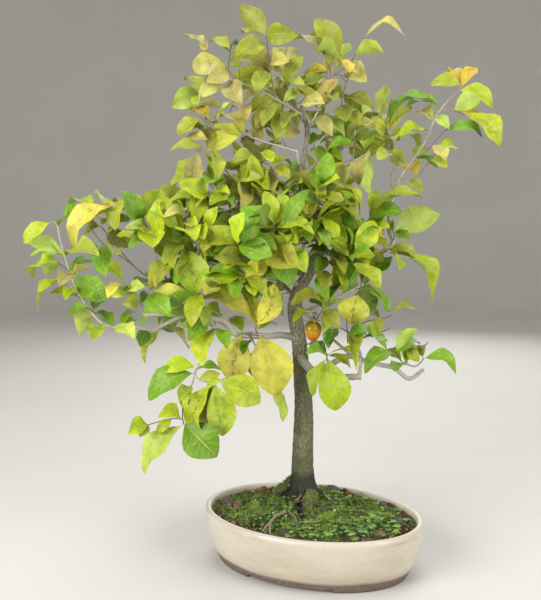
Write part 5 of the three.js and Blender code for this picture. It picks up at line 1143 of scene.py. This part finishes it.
  ["spray_right_pale",
    [[2.2, [97,393,30], [100,398,20], [97,406,12]]],
    [[97,404, 154,424, -32,4, "pale"], [98,402, 118,392, 12,1, "green"], [98,401, 84,412, 13,1,
    "olive"]]],
  ["spray_right_drop",
    [[2.4, [87,379,27], [80,374,20], [72,362,12], [65,352,6], [62,340,2], [57,328,-2]], [1.8,
    [80,374,20], [86,378,10], [94,383,4]]],
    [[57,329, 50,290, 37,2, "lemon"], [66,354, 64,388, 25,-2, "green"], [63,344, 98,373, 14,-4,
    "green"], [62,341, 57,364, 9,-1, "green"], [88,379, 149,312, 16,16, "lime"], [93,382, 128,371, 12,5,
    "olive"], [92,382, 104,356, 5,2, "lime"]]],
  ["spray_trunk_twig",
    [[2.4, [13,381,-4], [21,375,-15], [30,370,-19], [45,366,-20], [56,367,-21]]],
    [[38,367, -15,357, 7,13, "green"], [18,377, -7,384, 5,2, "lime"], [28,371, 40,357, 11,1, "olive"],
    [54,367, 66,380, 11,1, "green"]]],
  ["spray_spoon",
    [[2.2, [6,294,-18], [11,303,-26], [16,312,-31], [22,320,-34]]],
    [[21,319, 6,349, 14,-2, "green"], [22,320, 57,334, 6,7, "green"], [11,303, 38,318, 14,4, "pale"],
    [19,316, -1,327, 8,3, "yellow"], [15,310, -3,321, 10,1, "deep"], [13,307, 34,286, 20,2, "olive"],
    [18,314, -21,322, 10,2, "olive"], [9,299, 17,283, 7,1, "pale"], [9,300, -22,297, 5,2, "lime"]]],
  ["spray_right_low",
    [[2.6, [45,269,-16], [44,281,-12], [43,298,-8]], [2, [44,280,-12], [52,283,-8], [60,290,-4],
    [72,295,0], [90,298,4], [98,302,6]], [1.6, [44,281,-12], [35,286,-18], [18,286,-24]], [2,
    [46,271,-16], [59,272,-20], [78,279,-22], [97,285,-24]]],
    [[98,302, 133,304, 8,7, "pale"], [76,296, 82,276, 20,1, "olive"], [85,297, 64,300, 8,1, "olive"],
    [53,284, 61,268, 18,1, "olive"], [45,278, 53,252, 12,1, "lime"], [61,273, 93,260, 8,6, "green"],
    [46,282, 67,279, 15,2, "green"], [24,287, 21,262, 14,1, "green"], [36,286, 19,263, 14,2, "deep"],
    [43,297, 30,309, 12,1, "green"], [72,278, 80,266, 10,1, "green"]]],
  ["spray_right_hang",
    [[2.6, [22,240,-14], [19,247,-24], [20,254,-30]]],
    [[21,251, 31,182, 37,3, "lime"], [18,249, 4,200, 16,2, "lime"], [20,254, 54,230, 5,15, "lime"],
    [20,252, 49,237, 9,3, "olive"], [19,251, -4,257, 9,1, "green"], [19,253, -5,268, 12,1, "deep"]]],
  ["spray_right_tip",
    [[2.6, [101,238,-9], [115,241,-13], [127,238,-15], [135,243,-16], [138,249,-16]], [1.8,
    [115,241,-13], [107,249,-18], [104,257,-20]]],
    [[104,256, 131,284, -14,3, "pale"], [105,253, 134,270, 16,3, "green"], [115,242, 130,267, 18,1,
    "lime"], [134,243, 118,260, 14,1, "olive"], [138,248, 141,266, 12,1, "olive"], [138,247, 180,230,
    16,10, "green"], [105,254, 66,233, 18,5, "green"], [112,244, 86,257, 12,3, "lime"], [118,241,
    103,229, 10,1, "green"]]],
]
# at the back: a name, the stem as above, how many leaves it has, and their tone
backSprays = [
  ["spray_back_right", [2.8, [40,328,88], [50,334,104], [60,338,122], [66,336,140]], 8, "green"],
  ["spray_back_left", [2.8, [-88,368,90], [-104,374,104], [-118,378,120], [-128,376,134]], 8, "lime"],
  ["spray_back", [2.8, [14,433,102], [8,442,120], [2,452,140], [0,462,158]], 8, "olive"],
  ["spray_back_upper_left", [2.6, [-46,463,60], [-62,472,76], [-76,480,92], [-88,484,106]], 7, "olive"],
  ["spray_back_upper", [2.6, [27,497,58], [40,506,76], [50,514,94], [54,524,110]], 7, "olive"],
  ["spray_back_top", [2.6, [-8,528,3], [-16,542,28], [-20,556,52], [-18,572,72]], 6, "tan"],
  ["spray_back_low_left", [2.6, [-141,309,58], [-154,316,74], [-166,320,90], [-174,316,104]], 7, "green"],
]

leaf = {
    "lengthLow": 36,
    "lengthSpan": 20,
    "breadthShare": 0.46,
    "leanMost": 0.7,
    "bow": 0.07,
    "fold": 0.48,
    "thick": 0.3,
    "wave": 0.058,
    "curl": 0.12,
    "depths": [0, 6, -6, 12, -12, 18, -18, 25, -25, 33, -33],
    "gold": "#c4bd2a",
    "vein": "#cdd07a",
    "blotch": "#6b4a1d",
    "below": "#b4c270",
}
# each tone's colour, and how far such a leaf has turned
tones = {
    "deep": ("#46700c", 0.1),
    "green": ("#6b950e", 0.25),
    "lime": ("#9ab011", 0.5),
    "yellow": ("#d2c950", 1.0),
    "lemon": ("#bfc43c", 0.6),
    "gold": ("#c0a12c", 0.8),
    "olive": ("#909824", 0.4),
    "pale": ("#a9bf4a", 0.3),
    "tan": ("#aca257", 0.45),
    "spotted": ("#d8cd5f", 0.9),
    "rimmed": ("#7f9a17", 1.0),
}
shoot = {"taper": 0.55, "young": "#6a533c", "woody": "#b3ac9b", "pore": "#b9b092"}


def makeDraw(start):
    # the same draws on every run: each is the last one times a fixed number, kept under a large prime
    state = start

    def draw():
        nonlocal state
        state = (state * 48271) % 2147483647
        return state / 2147483647

    return draw


def unit(vector):
    # the same direction, one long
    return vector / np.linalg.norm(vector)


def nearestOnTwigs(twigs, across, height):
    # the nearest place on a stem's twigs, judged in the front view
    best = None
    for thickness, *points in twigs:
        points = np.array(points, float)
        for i, (a, b) in enumerate(zip(points[:-1], points[1:])):
            run = (b - a)[:2]
            length = math.hypot(*run)
            t = min(max(((across - a[0]) * run[0] + (height - a[1]) * run[1]) / length**2, 0), 1 - 1 / length)
            place = a + (b - a) * t
            distance = math.hypot(place[0] - across, place[1] - height)
            here = thickness * (1 + (shoot["taper"] - 1) * (i + t) / (len(points) - 1))
            if best is None or distance < best[1]:
                best = place, distance, here, seen(a), seen(b)
    return best


def thinned(points):
    # leaves out the points that hardly leave the line between their neighbours
    kept = [np.array(points[0], float)]
    for i in range(1, len(points) - 1):
        line = np.array(points[i + 1], float) - kept[-1]
        off = np.array(points[i], float) - kept[-1]
        share = min(max(off @ line / (line @ line), 0), 1)
        if np.linalg.norm(off - line * share) > 1.4:
            kept.append(np.array(points[i], float))
    return [*kept, np.array(points[-1], float)]


def readLeaf(row, twigs, extraDepth, chance):
    # the tip leans towards or away from the viewer by the length that the view hides
    place, _, thickness, first, last = nearestOnTwigs(twigs, row[0], row[1])
    run = np.array(row[2:4]) - place[:2]
    seenLength = math.hypot(*run)
    wanted = leaf["lengthLow"] + leaf["lengthSpan"] * chance[0]
    hidden = math.sqrt(max(wanted**2 - seenLength**2, (0.12 * wanted) ** 2))
    depth = min(hidden, leaf["leanMost"] * wanted)
    shown = 1 if row[4] > 0 else -1
    rising = np.sign(chance[1] - 0.5) if abs(run[1]) < 0.4 * seenLength else np.sign(run[1]) * shown
    tip = seen([row[2], row[3], place[2] + rising * depth + extraDepth])
    middle = seen(place)
    along = unit(tip - middle)
    slant = max(np.linalg.norm(np.cross(along, unit(last - first))), 0.25)
    base = middle + along * max(0, 0.16 * thickness / slant - 0.18)
    along = unit(tip - base)
    facing = unit(eye - base)
    facing = unit(facing - along * (facing @ along))
    flat = np.cross(along, facing)
    length = np.linalg.norm(tip - base)
    breadth = max(abs(row[4]), leaf["breadthShare"] * length)
    if abs(row[4]) > 0.24 * length:
        breadth = min(breadth, 1.3 * abs(row[4]))
    roll = math.acos(min(1, abs(row[4]) / breadth))
    lift = -1 if flat[2] < 0 else 1
    normal = facing * shown * math.cos(roll) + flat * lift * math.sin(roll)
    return middle, base, tip, normal, breadth, flat * lift * row[5]


def ruleLeaf(row, twigs, extraDepth, chance):
    # leaves turn round the stem by the golden angle and droop
    path = seen(twigs[0][1:])
    spot = (0.16 + 0.82 * row[0]) * (len(path) - 1)
    i = min(int(spot), len(path) - 2)
    middle = path[i] + (path[i + 1] - path[i]) * (spot - i)
    forward = unit(path[i + 1] - path[i])
    first = unit(np.cross(forward, [0, 0, 1]))
    second = np.cross(first, forward)
    out = first * math.cos(row[1]) + second * math.sin(row[1]) + 0.5 * forward
    along = unit(out + np.array([0, 0, -0.3 - extraDepth / 40]))
    length = leaf["lengthLow"] + leaf["lengthSpan"] * chance[0] + 4
    tip = middle + along * length
    slant = max(np.linalg.norm(np.cross(along, forward)), 0.25)
    base = middle + along * max(0, 0.32 / slant - 0.18)
    normal = unit(np.array([0, 0, 1]) - along * along[2])
    roll = (chance[1] - 0.5) * 1.2
    normal = normal * math.cos(roll) + np.cross(along, normal) * math.sin(roll)
    return middle, base, tip, normal, length * (0.44 + 0.1 * chance[0]), np.zeros(3)


def bladeGrid(bases, tips, normals, breadths, arches, rolls):
    # A leaf is a closed skin: along it, a half width that widens from the stalk and rounds off to a blunt
    # point; round it, four steps over the top and two under. It bows along its length, folds up at the
    # midrib and waves at its rim.
    length = np.linalg.norm(tips - bases, axis=1)[:, None, None]
    along = (tips - bases) / length[:, 0]
    side = np.cross(normals, along)
    side /= np.linalg.norm(side, axis=1, keepdims=True)
    share = np.array([0, 0.06, 0.13, 0.22, 0.33, 0.45, 0.57, 0.69, 0.8, 0.9, 0.965, 1])[None, :, None]
    half = np.array([-1, -0.5, 0, 0.5, 1, 0, -1])[None, None, :]
    top = np.array([0, 1, 1, 1, 0, -1, 0])[None, None, :]
    widest, wave, curl = (rolls[:, i, None, None] for i in range(3))
    body = np.clip((share - 0.05) / 0.95, 0, 1)
    width = np.sin(np.pi * body ** (0.92 + 0.3 * widest)) ** (0.82 - 0.06 * body)
    inner = (share > 0) & (share < 1)
    width = np.maximum(width, 0.03 * (share < 0.2)) * inner
    bend = 4 * share * (1 - share)
    reach = breadths[:, None, None] / 2 * width * 1.06
    ripple = np.sin(11 * share + 6 * wave + 2 * half * np.sign(wave - 0.5))
    ripple = leaf["wave"] * length * ripple * half**2 * width
    tipCurl = (curl - 0.3) * leaf["curl"] * length * np.clip((share - 0.55) / 0.45, 0, 1) ** 2 * 2
    cup = leaf["fold"] * (1.25 * np.abs(half) - 0.35 * half**2) * reach
    lift = leaf["bow"] * length * bend + cup + ripple - tipCurl
    lift = lift + top * inner * leaf["thick"] * (0.35 + 0.65 * width)
    points = bases[:, None, None] + along[:, None, None] * (share * length)[..., None]
    points = points + side[:, None, None] * (half * reach)[..., None]
    points = points + arches[:, None, None] * bend[..., None] + normals[:, None, None] * lift[..., None]
    uv = pointsFrom(half * 0.5 + 0.5, share)
    return points, np.broadcast_to(uv, (*points.shape[:3], 2)), np.broadcast_to(top < 0, points.shape[:3])


def leatheryLeaf():
    # a leathery persimmon leaf turning in autumn: soft gloss above, sunken veins, and matt and paler below
    material, tree, shader, place = newMaterial("autumn persimmon leaf")
    shade = addNode(tree, "Attribute", attribute_name="shade")
    traits = addNode(tree, "Attribute", attribute_name="traits")
    turning, chance, under = addNode(tree, "SeparateColor", {0: traits}).node.outputs
    flat = addNode(tree, "UVMap", uv_map="surface")
    across, along, _ = addNode(tree, "SeparateXYZ", {0: flat}).node.outputs
    half = addNode(tree, "Math", {0: across, 1: 0.5}, operation="SUBTRACT")
    half = addNode(tree, "Math", {0: half}, operation="ABSOLUTE")
    rib = addNode(tree, "MapRange", {0: half, 1: 0.01, 2: 0.032, 3: 1.0, 4: 0.0})
    # side veins leave the midrib every ninth of the length and slant towards the tip, 3 to 5 mm apart
    slope = addNode(tree, "Math", {0: half, 1: -0.45, 2: along}, operation="MULTIPLY_ADD")
    wobble = addNode(tree, "TexNoise", {"Vector": place, "Scale": 120.0})
    slope = addNode(tree, "Math", {0: wobble, 1: 0.08, 2: slope}, operation="MULTIPLY_ADD")
    veins = addNode(tree, "Math", {0: slope, 1: 0.058}, operation="PINGPONG")
    veins = addNode(tree, "MapRange", {0: veins, 1: 0.002, 2: 0.013, 3: 0.4, 4: 0.0})
    lines = addNode(tree, "Math", {0: rib, 1: veins}, operation="MAXIMUM")
    edge = addNode(tree, "MapRange", {0: half, 1: 0.2, 2: 0.5})
    cloud = addNode(tree, "TexNoise", {"Vector": place, "Scale": 90.0, "Detail": 4.0, "Roughness": 0.6})
    spread = addNode(tree, "Math", {0: edge, 1: 0.35, 2: cloud}, operation="MULTIPLY_ADD")
    spread = addNode(tree, "Math", {0: spread, 1: turning}, operation="MULTIPLY")
    gold = addNode(tree, "MapRange", {0: spread, 1: 0.25, 2: 0.75, 3: 0.0, 4: 0.6})
    body = addNode(tree, "Mix", {0: gold, 6: shade, 7: leaf["gold"]}, 2, data_type="RGBA")
    mottle = addNode(tree, "MapRange", {0: cloud, 1: 0.3, 2: 0.7, 3: 0.72, 4: 1.22})
    body = addNode(tree, "VectorMath", {0: body, 3: mottle}, operation="SCALE")
    faint = addNode(tree, "Math", {0: lines, 1: 0.42}, operation="MULTIPLY")
    body = addNode(tree, "Mix", {0: faint, 6: body, 7: leaf["vein"]}, 2, data_type="RGBA")
    # old leaves have brown blotches along the midrib, and a few round spots
    dry = addNode(tree, "TexNoise", {"Vector": place, "Scale": 260.0, "Detail": 3.0})
    beside = addNode(tree, "MapRange", {0: half, 1: 0.02, 2: 0.22, 3: 0.3, 4: 0.0})
    blotch = addNode(tree, "Math", {0: dry, 1: beside}, operation="ADD")
    blotch = addNode(tree, "MapRange", {0: blotch, 1: 0.78, 2: 0.87, 3: 0.0, 4: 0.6})
    old = addNode(tree, "MapRange", {0: chance, 1: 0.7, 2: 0.8})
    blotch = addNode(tree, "Math", {0: blotch, 1: old}, operation="MULTIPLY")
    spot = addNode(tree, "TexVoronoi", {"Vector": place, "Scale": 210.0})
    rare = addNode(tree, "SeparateColor", {0: spot.node.outputs["Color"]})
    rare = addNode(tree, "Math", {0: rare, 1: chance}, operation="MULTIPLY")
    rare = addNode(tree, "Math", {0: rare, 1: 0.7}, operation="GREATER_THAN")
    spot = addNode(tree, "MapRange", {0: spot, 1: 0.12, 2: 0.26, 3: 0.55, 4: 0.0})
    spot = addNode(tree, "Math", {0: spot, 1: rare}, operation="MULTIPLY")
    marks = addNode(tree, "Math", {0: blotch, 1: spot}, operation="MAXIMUM")
    body = addNode(tree, "Mix", {0: marks, 6: body, 7: leaf["blotch"]}, 2, data_type="RGBA")
    below = addNode(tree, "Mix", {0: 0.38, 6: body, 7: leaf["below"]}, 2, data_type="RGBA")
    colour = addNode(tree, "Mix", {0: under, 6: body, 7: below}, 2, data_type="RGBA")
    rough = addNode(tree, "MapRange", {0: under, 3: 0.45, 4: 0.72})
    sunk = addNode(tree, "Math", {0: lines, 1: -0.9, 2: cloud}, operation="MULTIPLY_ADD")
    bump = addNode(tree, "Bump", {"Height": sunk, "Distance": 0.0006, "Strength": 0.8})
    setInputs(tree, shader, {
        "Base Color": colour,
        "Roughness": rough,
        "Normal": bump,
        "IOR": 1.42,
        "Subsurface Weight": 0.12,
        "Subsurface Radius": (0.6, 0.9, 0.2),
        "Subsurface Scale": 0.001,
    })
    return material


def twigBark():
    # young persimmon shoots: thin grey-brown bark with pale breathing pores, matt
    material, tree, shader, place = newMaterial("young persimmon shoot bark")
    grain = addNode(tree, "TexNoise", {"Vector": place, "Scale": 330.0, "Detail": 4.0})
    shade = addNode(tree, "Attribute", attribute_name="shade")
    tone = addNode(tree, "MapRange", {0: grain, 1: 0.3, 2: 0.7, 3: 0.7, 4: 1.25})
    colour = addNode(tree, "VectorMath", {0: shade, 3: tone}, operation="SCALE")
    pores = addNode(tree, "TexVoronoi", {"Vector": place, "Scale": 700.0})
    dots = addNode(tree, "MapRange", {0: pores, 1: 0.12, 2: 0.2, 3: 0.6, 4: 0.0})
    colour = addNode(tree, "Mix", {0: dots, 6: colour, 7: shoot["pore"]}, 2, data_type="RGBA")
    bump = addNode(tree, "Bump", {"Height": grain, "Distance": 0.0003})
    setInputs(tree, shader, {"Base Color": colour, "Normal": bump, "Roughness": 0.8})
    return material


def cadCorners(name):
    # the corners of a CAD node, in millimetres from the pot's middle
    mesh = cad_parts[name].data
    corners = np.empty(len(mesh.vertices) * 3)
    mesh.vertices.foreach_get("co", corners)
    return corners.reshape(-1, 3) * 1000 - potCentre


def leafTint(names, draw):
    # a little warmer or cooler, lighter or darker than the tone
    colour = np.array([rgb(tones[name][0]) for name in names])
    count = len(colour)
    lighter = 1 + 0.36 * (draw.random((count, 1)) - 0.5)
    warmer = 1 + 0.14 * (draw.random((count, 3)) - 0.5)
    return colour * lighter * warmer


def shootTube(points, thickness, perSpan=6, around=8):
    # a tapering shoot: pale grey where it is woody, brown where it is young and thin
    radii = np.linspace(thickness, thickness * shoot["taper"], len(points)) / 2
    path = smoothPath(np.concatenate([points, radii[:, None]], 1), perSpan)
    surface = tube(path[:, :3], path[:, 3], around)
    woody = np.clip((np.concatenate([path[:1, 3], path[:, 3], path[-1:, 3]]) - 0.62) / 0.55, 0, 1)[:, None]
    young, old = (rgb(text) for text in (shoot["young"], shoot["woody"]))
    surface["colour"] = (young + (old - young) * woody)[None, :, None]
    return surface, path[:, :3]


def bladesOf(grown, names, draw):
    # the surface of many leaves, with each leaf's own colour, how far it has turned, and which side is below
    bases, tips, normals, breadths, arches = (np.array(column, float) for column in zip(*grown))
    points, uv, under = bladeGrid(bases, tips, normals, breadths, arches, draw.random((len(grown), 3)))
    turning = np.array([tones[name][1] for name in names]) * (0.6 + 0.8 * draw.random(len(grown)))
    traits = np.zeros(points.shape)
    traits[..., 0] = np.clip(turning, 0, 1)[:, None, None]
    marked = np.array([name == "spotted" for name in names])
    traits[..., 1] = np.where(marked, 0.97, 0.93 * draw.random(len(grown)))[:, None, None]
    traits[..., 2] = under
    return {"points": points, "uv": uv, "colour": leafTint(names, draw)[:, None, None], "traits": traits}


def makeSprays(leafMaterial, shootMaterial):
    # tapering twigs; each leaf takes the depth at which its tip comes nearest to the CAD node
    golden = math.pi * (3 - math.sqrt(5))
    plans = [(name, twigs, leaves, readLeaf) for name, twigs, leaves in sprays]
    for name, twig, count, tone in backSprays:
        plans.append((name, [twig], [[(i + 1) / count, i * golden, tone] for i in range(count)], ruleLeaf))
    limbPoints = np.concatenate([path[:, :3] for path in woodPaths])
    draw = np.random.default_rng(401)
    allPaths, allPoints = [], []
    for number, (name, twigs, leaves, make) in enumerate(plans):
        joined = []
        for thickness, first, *rest in twigs:
            root = nearestOnTwigs(joined, first[0], first[1])[0] if joined else np.array(first, float)
            joined.append([thickness, *thinned([root, *rest])])
        tubes, paths = [], []
        for i, (thickness, *points) in enumerate(joined):
            points = seen(points)
            if i == 0:
                near = limbPoints[np.argmin(np.linalg.norm(limbPoints - points[0], axis=1))]
                points[0] = near if np.linalg.norm(near - points[0]) < 9 else points[0]
            surface, path = shootTube(points, thickness)
            tubes.append(surface)
            paths.append(path)
        allPaths.extend(paths)
        paths = np.concatenate(paths)
        corners = cadCorners(name)
        chances = makeDraw(77 + number)
        grown = []
        for row in leaves:
            chance = chances(), chances()
            options = [make(row, joined, depth, chance) for depth in leaf["depths"]]
            miss = [np.linalg.norm(corners - option[2], axis=1).min() for option in options]
            best = options[int(np.argmin(miss))]
            stalk = paths[np.argmin(np.linalg.norm(paths - best[0], axis=1))]
            grown.append((stalk, *best[2:]))
        blades = bladesOf(grown, [row[-1] for row in leaves], draw)
        allPoints.append(blades["points"])
        makePiece(name + "_leaves", [blades], leafMaterial, [name], sharpAbove=75)
        makePiece(name + "_stem", tubes, shootMaterial, ())
    return allPaths, np.concatenate(allPoints)


# where the crown is full: across, up, half breadth, half height, how full, and the tones there;
# and where it is open: across, up and radius
crown = {
    "fill": [
        (-75, 390, 125, 66, 1.0, ("lime", "green", "lime", "olive", "lime", "lime")),
        (22, 415, 76, 52, 1.0, ("green", "lime", "olive", "lime", "green")),
        (-45, 540, 85, 70, 0.24, ("olive", "tan", "olive", "tan", "pale")),
        (60, 540, 80, 50, 0.2, ("olive", "pale", "tan")),
        (-200, 345, 90, 60, 0.14, ("lime", "green", "olive")),
        (-105, 350, 70, 45, 1.0, ("lime", "green", "yellow", "lime")),
    ],
    "open": [
        (2, 280, 22), (-14, 300, 16), (-230, 350, 26), (-4, 345, 16), (-12, 360, 12), (4, 375, 12),
        (-86, 325, 14), (120, 414, 38), (-103, 313, 20), (-56, 315, 19), (52, 310, 17),
    ],
    "step": 5.0,
    "room": 2.8,
    "woodRoom": 7,
    "most": 520,
    "length": (29, 49),
    "shoot": 1.1,
}


def fillCrown(paths, points, leafMaterial, shootMaterial):
    # short side shoots from the finer wood, each with up to three leaves that keep clear of all others
    draw = np.random.default_rng(902)
    finer = [path[path[:, 3] < 3.2][:, :3] for path in woodPaths[1:]]
    lines = [path for path in [*paths, *finer] if len(path) > 4]
    taken = points[:, 1:10:2, (0, 2, 4)].reshape(-1, 3)
    wooden = np.concatenate([path[::2, :3] for path in woodPaths])
    low, high = points.min((0, 1, 2)) + 4, points.max((0, 1, 2)) - 4
    forward = np.array([-math.sin(math.radians(viewer["turn"])), math.cos(math.radians(viewer["turn"])), 0])
    rightward = np.array([forward[1], -forward[0], 0])
    least, most = crown["length"]
    grown, names, tubes, spots = [], [], [], []

    def frontPlace(point):
        # where a point shows in the front view, and whether that is a place kept open
        view = point - eye
        scale = (viewer["plane"] - viewer["away"]) / (view @ forward)
        across, up = viewer["across"] + view @ rightward * scale, eye[2] + view[2] * scale
        return across, up, any(math.hypot(across - a, up - h) < r for a, h, r in crown["open"])

    for line in lines:
        run = lengthAlong(line)
        at = np.arange(crown["step"], run[-1], crown["step"])
        place = readAlong(at, run, line)
        spots.extend(zip(place, readAlong(at + 1, run, line) - place))
    for k in draw.permutation(len(spots)):
        start, heading = spots[k]
        across, up, shown = frontPlace(start)
        near = []
        for a, h, breadth, height, full, tone in crown["fill"]:
            near.append((1 - ((across - a) / breadth) ** 2 - ((up - h) / height) ** 2, full, tone))
        inside, full, tone = max(near, key=lambda item: item[0])
        if inside < 0 or shown or draw.random() > full:
            continue
        heading = unit(heading + 1e-6)
        out = draw.normal(size=3)
        out = unit(out - heading * (out @ heading))
        aim = unit(out + 0.55 * heading + np.array([0, 0, 0.25]))
        end = start + aim * (8 + 16 * draw.random())
        bent = (start + end) / 2 + draw.normal(size=3) * 1.2
        leaves = []
        for j, base in enumerate((end, bent + (end - bent) * 0.4, bent)):
            spin = j * 2.4 + draw.random() * 2
            first = unit(np.cross(aim, [0.3, 0.2, 1]))
            second = np.cross(first, aim)
            spread = first * math.cos(spin) + second * math.sin(spin)
            along = unit(spread + (1.1 if j == 0 else 0.5) * aim + [0, 0, -0.25])
            length = least + (most - least) * draw.random()
            normal = np.array([0, 0, 1.0]) - 0.75 * forward + 0.35 * draw.normal(size=3)
            normal = unit(normal - along * (normal @ along))
            breadth = length * (0.44 + 0.16 * draw.random())
            leaves.append((base, base + along * length, normal, breadth, np.zeros(3)))
        kept = []
        for item in leaves:
            blade = bladeGrid(*(np.array([value], float) for value in item), np.full((1, 3), 0.5))[0]
            trial = blade[:, 2:10:2, (0, 2, 4)].reshape(-1, 3)
            inBox = (trial > low).all() and (trial < high).all()
            clear = np.linalg.norm(trial[:, None] - taken[None], axis=2).min() > crown["room"]
            clear = clear and not frontPlace(trial.mean(0))[2]
            if not (inBox and clear):
                continue
            if np.linalg.norm(trial[:, None] - wooden[None], axis=2).min() > crown["woodRoom"]:
                kept.append(item)
                taken = np.concatenate([taken, trial])
        if not kept:
            continue
        surface, _ = shootTube(np.array([start, bent, end]), crown["shoot"], 3, 5)
        tubes.append(surface)
        grown.extend(kept)
        names.extend(tone[int(draw.integers(0, len(tone)))] for _ in kept)
        if len(grown) > crown["most"]:
            break
    makePiece("inner_leaves", [bladesOf(grown, names, draw)], leafMaterial, (), sharpAbove=75)
    makePiece("inner_shoots", tubes, shootMaterial, ())
    print("leaves added inside the crown:", len(grown), "on", len(tubes), "shoots")


leafMaterial, shootMaterial = leatheryLeaf(), twigBark()
stemPaths, bladePoints = makeSprays(leafMaterial, shootMaterial)
print("leafy stems")
fillCrown(stemPaths, bladePoints, leafMaterial, shootMaterial)

# Fruit and calyx
fruit = {
    "place": (2, 282.5, -31),
    "radius": 10.3,
    "height": 25,
    "top": "#6e6a10",
    "middle": "#b3880b",
    "bottom": "#c46606",
    "tip": "#d8c79a",
    "speck": "#8f5a1e",
}
calyx = {
    "lobeLength": 11,
    "lobeWidth": 4.6,
    "thickness": 0.9,
    "colour": "#97a53c",
    "dry": "#8a7a3c",
    "stalk": 2,
    "stalkPlaces": [(3, 301, -28), (5, 296.5, -17), (6, 294, -13)],
    "stalkColour": "#7f7440",
}


def waxySkin():
    # ripe persimmon: a thin waxy skin, smooth and glossy, olive-gold by the stalk and red-orange below
    material, tree, shader, place = newMaterial("ripe persimmon skin")
    shade = addNode(tree, "Attribute", attribute_name="shade")
    cloud = addNode(tree, "TexNoise", {"Vector": place, "Scale": 140.0, "Detail": 4.0})
    speck = addNode(tree, "TexVoronoi", {"Vector": place, "Scale": 1100.0})
    dots = addNode(tree, "MapRange", {0: speck, 1: 0.1, 2: 0.16, 3: 0.35, 4: 0.0})
    mottle = addNode(tree, "MapRange", {0: cloud, 1: 0.3, 2: 0.7, 3: 0.86, 4: 1.12})
    body = addNode(tree, "VectorMath", {0: shade, 3: mottle}, operation="SCALE")
    body = addNode(tree, "Mix", {0: dots, 6: body, 7: fruit["speck"]}, 2, data_type="RGBA")
    setInputs(tree, shader, {
        "Base Color": body,
        "Roughness": 0.12,
        "IOR": 1.45,
        "Subsurface Weight": 0.05,
        "Subsurface Radius": (1.0, 0.4, 0.1),
        "Subsurface Scale": 0.002,
    })
    return material


def greenStalk():
    # the calyx: dry green, leathery and matt, browning at the lobes' ends
    material, tree, shader, place = newMaterial("green persimmon calyx")
    shade = addNode(tree, "Attribute", attribute_name="shade")
    grain = addNode(tree, "TexNoise", {"Vector": place, "Scale": 500.0, "Detail": 3.0})
    tone = addNode(tree, "MapRange", {0: grain, 1: 0.3, 2: 0.7, 3: 0.8, 4: 1.2})
    colour = addNode(tree, "VectorMath", {0: shade, 3: tone}, operation="SCALE")
    bump = addNode(tree, "Bump", {"Height": grain, "Distance": 0.0002})
    setInputs(tree, shader, {"Base Color": colour, "Normal": bump, "Roughness": 0.6})
    return material


def makeFruit():
    # a turned egg: the radius is a sine, fuller above, with a dimple under the stalk and a small pale mark at
    # the bottom
    centre = seen(fruit["place"])
    polar = np.linspace(0, np.pi, 41)[:, None]
    angle = np.linspace(0, 2 * np.pi, 49)[None]
    radius = fruit["radius"] * np.sin(polar) * (1 + 0.12 * np.cos(polar)) * (1 + 0.02 * np.cos(4 * angle + 1))
    height = fruit["height"] / 2 * np.cos(polar) - 1.1 * np.exp(-((polar / 0.3) ** 2))
    points = centre + pointsFrom(radius * np.cos(angle), radius * np.sin(angle), height)
    top, middle, bottom = (rgb(fruit[key]) for key in ("top", "middle", "bottom"))
    share = np.broadcast_to(np.clip((np.cos(polar) + 0.1) / 1.1, 0, 1)[..., None], (41, 49, 1))
    low = np.broadcast_to(np.clip((-0.05 - np.cos(polar)) / 0.7, 0, 1)[..., None], (41, 49, 1))
    colour = middle + (top - middle) * share
    colour = colour + (bottom - colour) * low
    tipMark = np.exp(-(((np.pi - polar) / 0.09) ** 2))[..., None]
    colour = colour + (rgb(fruit["tip"]) - colour) * tipMark
    surface = {"points": points[None], "colour": colour[None]}
    makePiece("ripe_fruit", [surface], waxySkin(), ["fruit"])
    # four straps that spread from the stalk, bent down over the fruit's shoulder
    start = centre + np.array([0, 0, fruit["height"] / 2 + 0.35])
    share = np.append(0, np.linspace(0, 1, 10))[None, :, None]
    inner = (np.arange(11) > 0)[None, :, None]
    ring = np.linspace(0, 2 * np.pi, 9)[None, None, :]
    turn = ((np.arange(4) + 0.35) * np.pi / 2)[:, None, None]
    out = share * calyx["lobeLength"] - 0.2
    blunt = np.sqrt(np.clip(1 - share**5, 0, 1))
    width = calyx["lobeWidth"] / 2 * (0.55 + 0.45 * np.sin(np.pi * share**0.8)) * blunt
    side = np.cos(ring) * width * inner
    skin = inner * np.sin(ring) * calyx["thickness"] / 2 * np.sqrt(np.clip(1 - share**6, 0.02, 1))
    up = 0.5 + skin - 2.6 * share**2 + 0.25 * (side / 2) ** 2
    px = out * np.cos(turn) - side * np.sin(turn)
    py = out * np.sin(turn) + side * np.cos(turn)
    points = start + pointsFrom(px, py, up)
    green, dry = (rgb(calyx[key]) for key in ("colour", "dry"))
    colour = np.broadcast_to(green + (dry - green) * (share[..., None] ** 3) * 0.8, points.shape)
    lobes = {"points": points, "colour": colour}
    path = smoothPath(np.array([start - (0, 0, 0.6), *seen(calyx["stalkPlaces"])]), 8)
    stalk = tube(path, np.full(len(path), calyx["stalk"] / 2), 12)
    stalk["colour"] = rgb(calyx["stalkColour"])
    makePiece("calyx_lobes", [lobes, stalk], greenStalk(), ["calyx"])


makeFruit()
print("fruit and calyx")
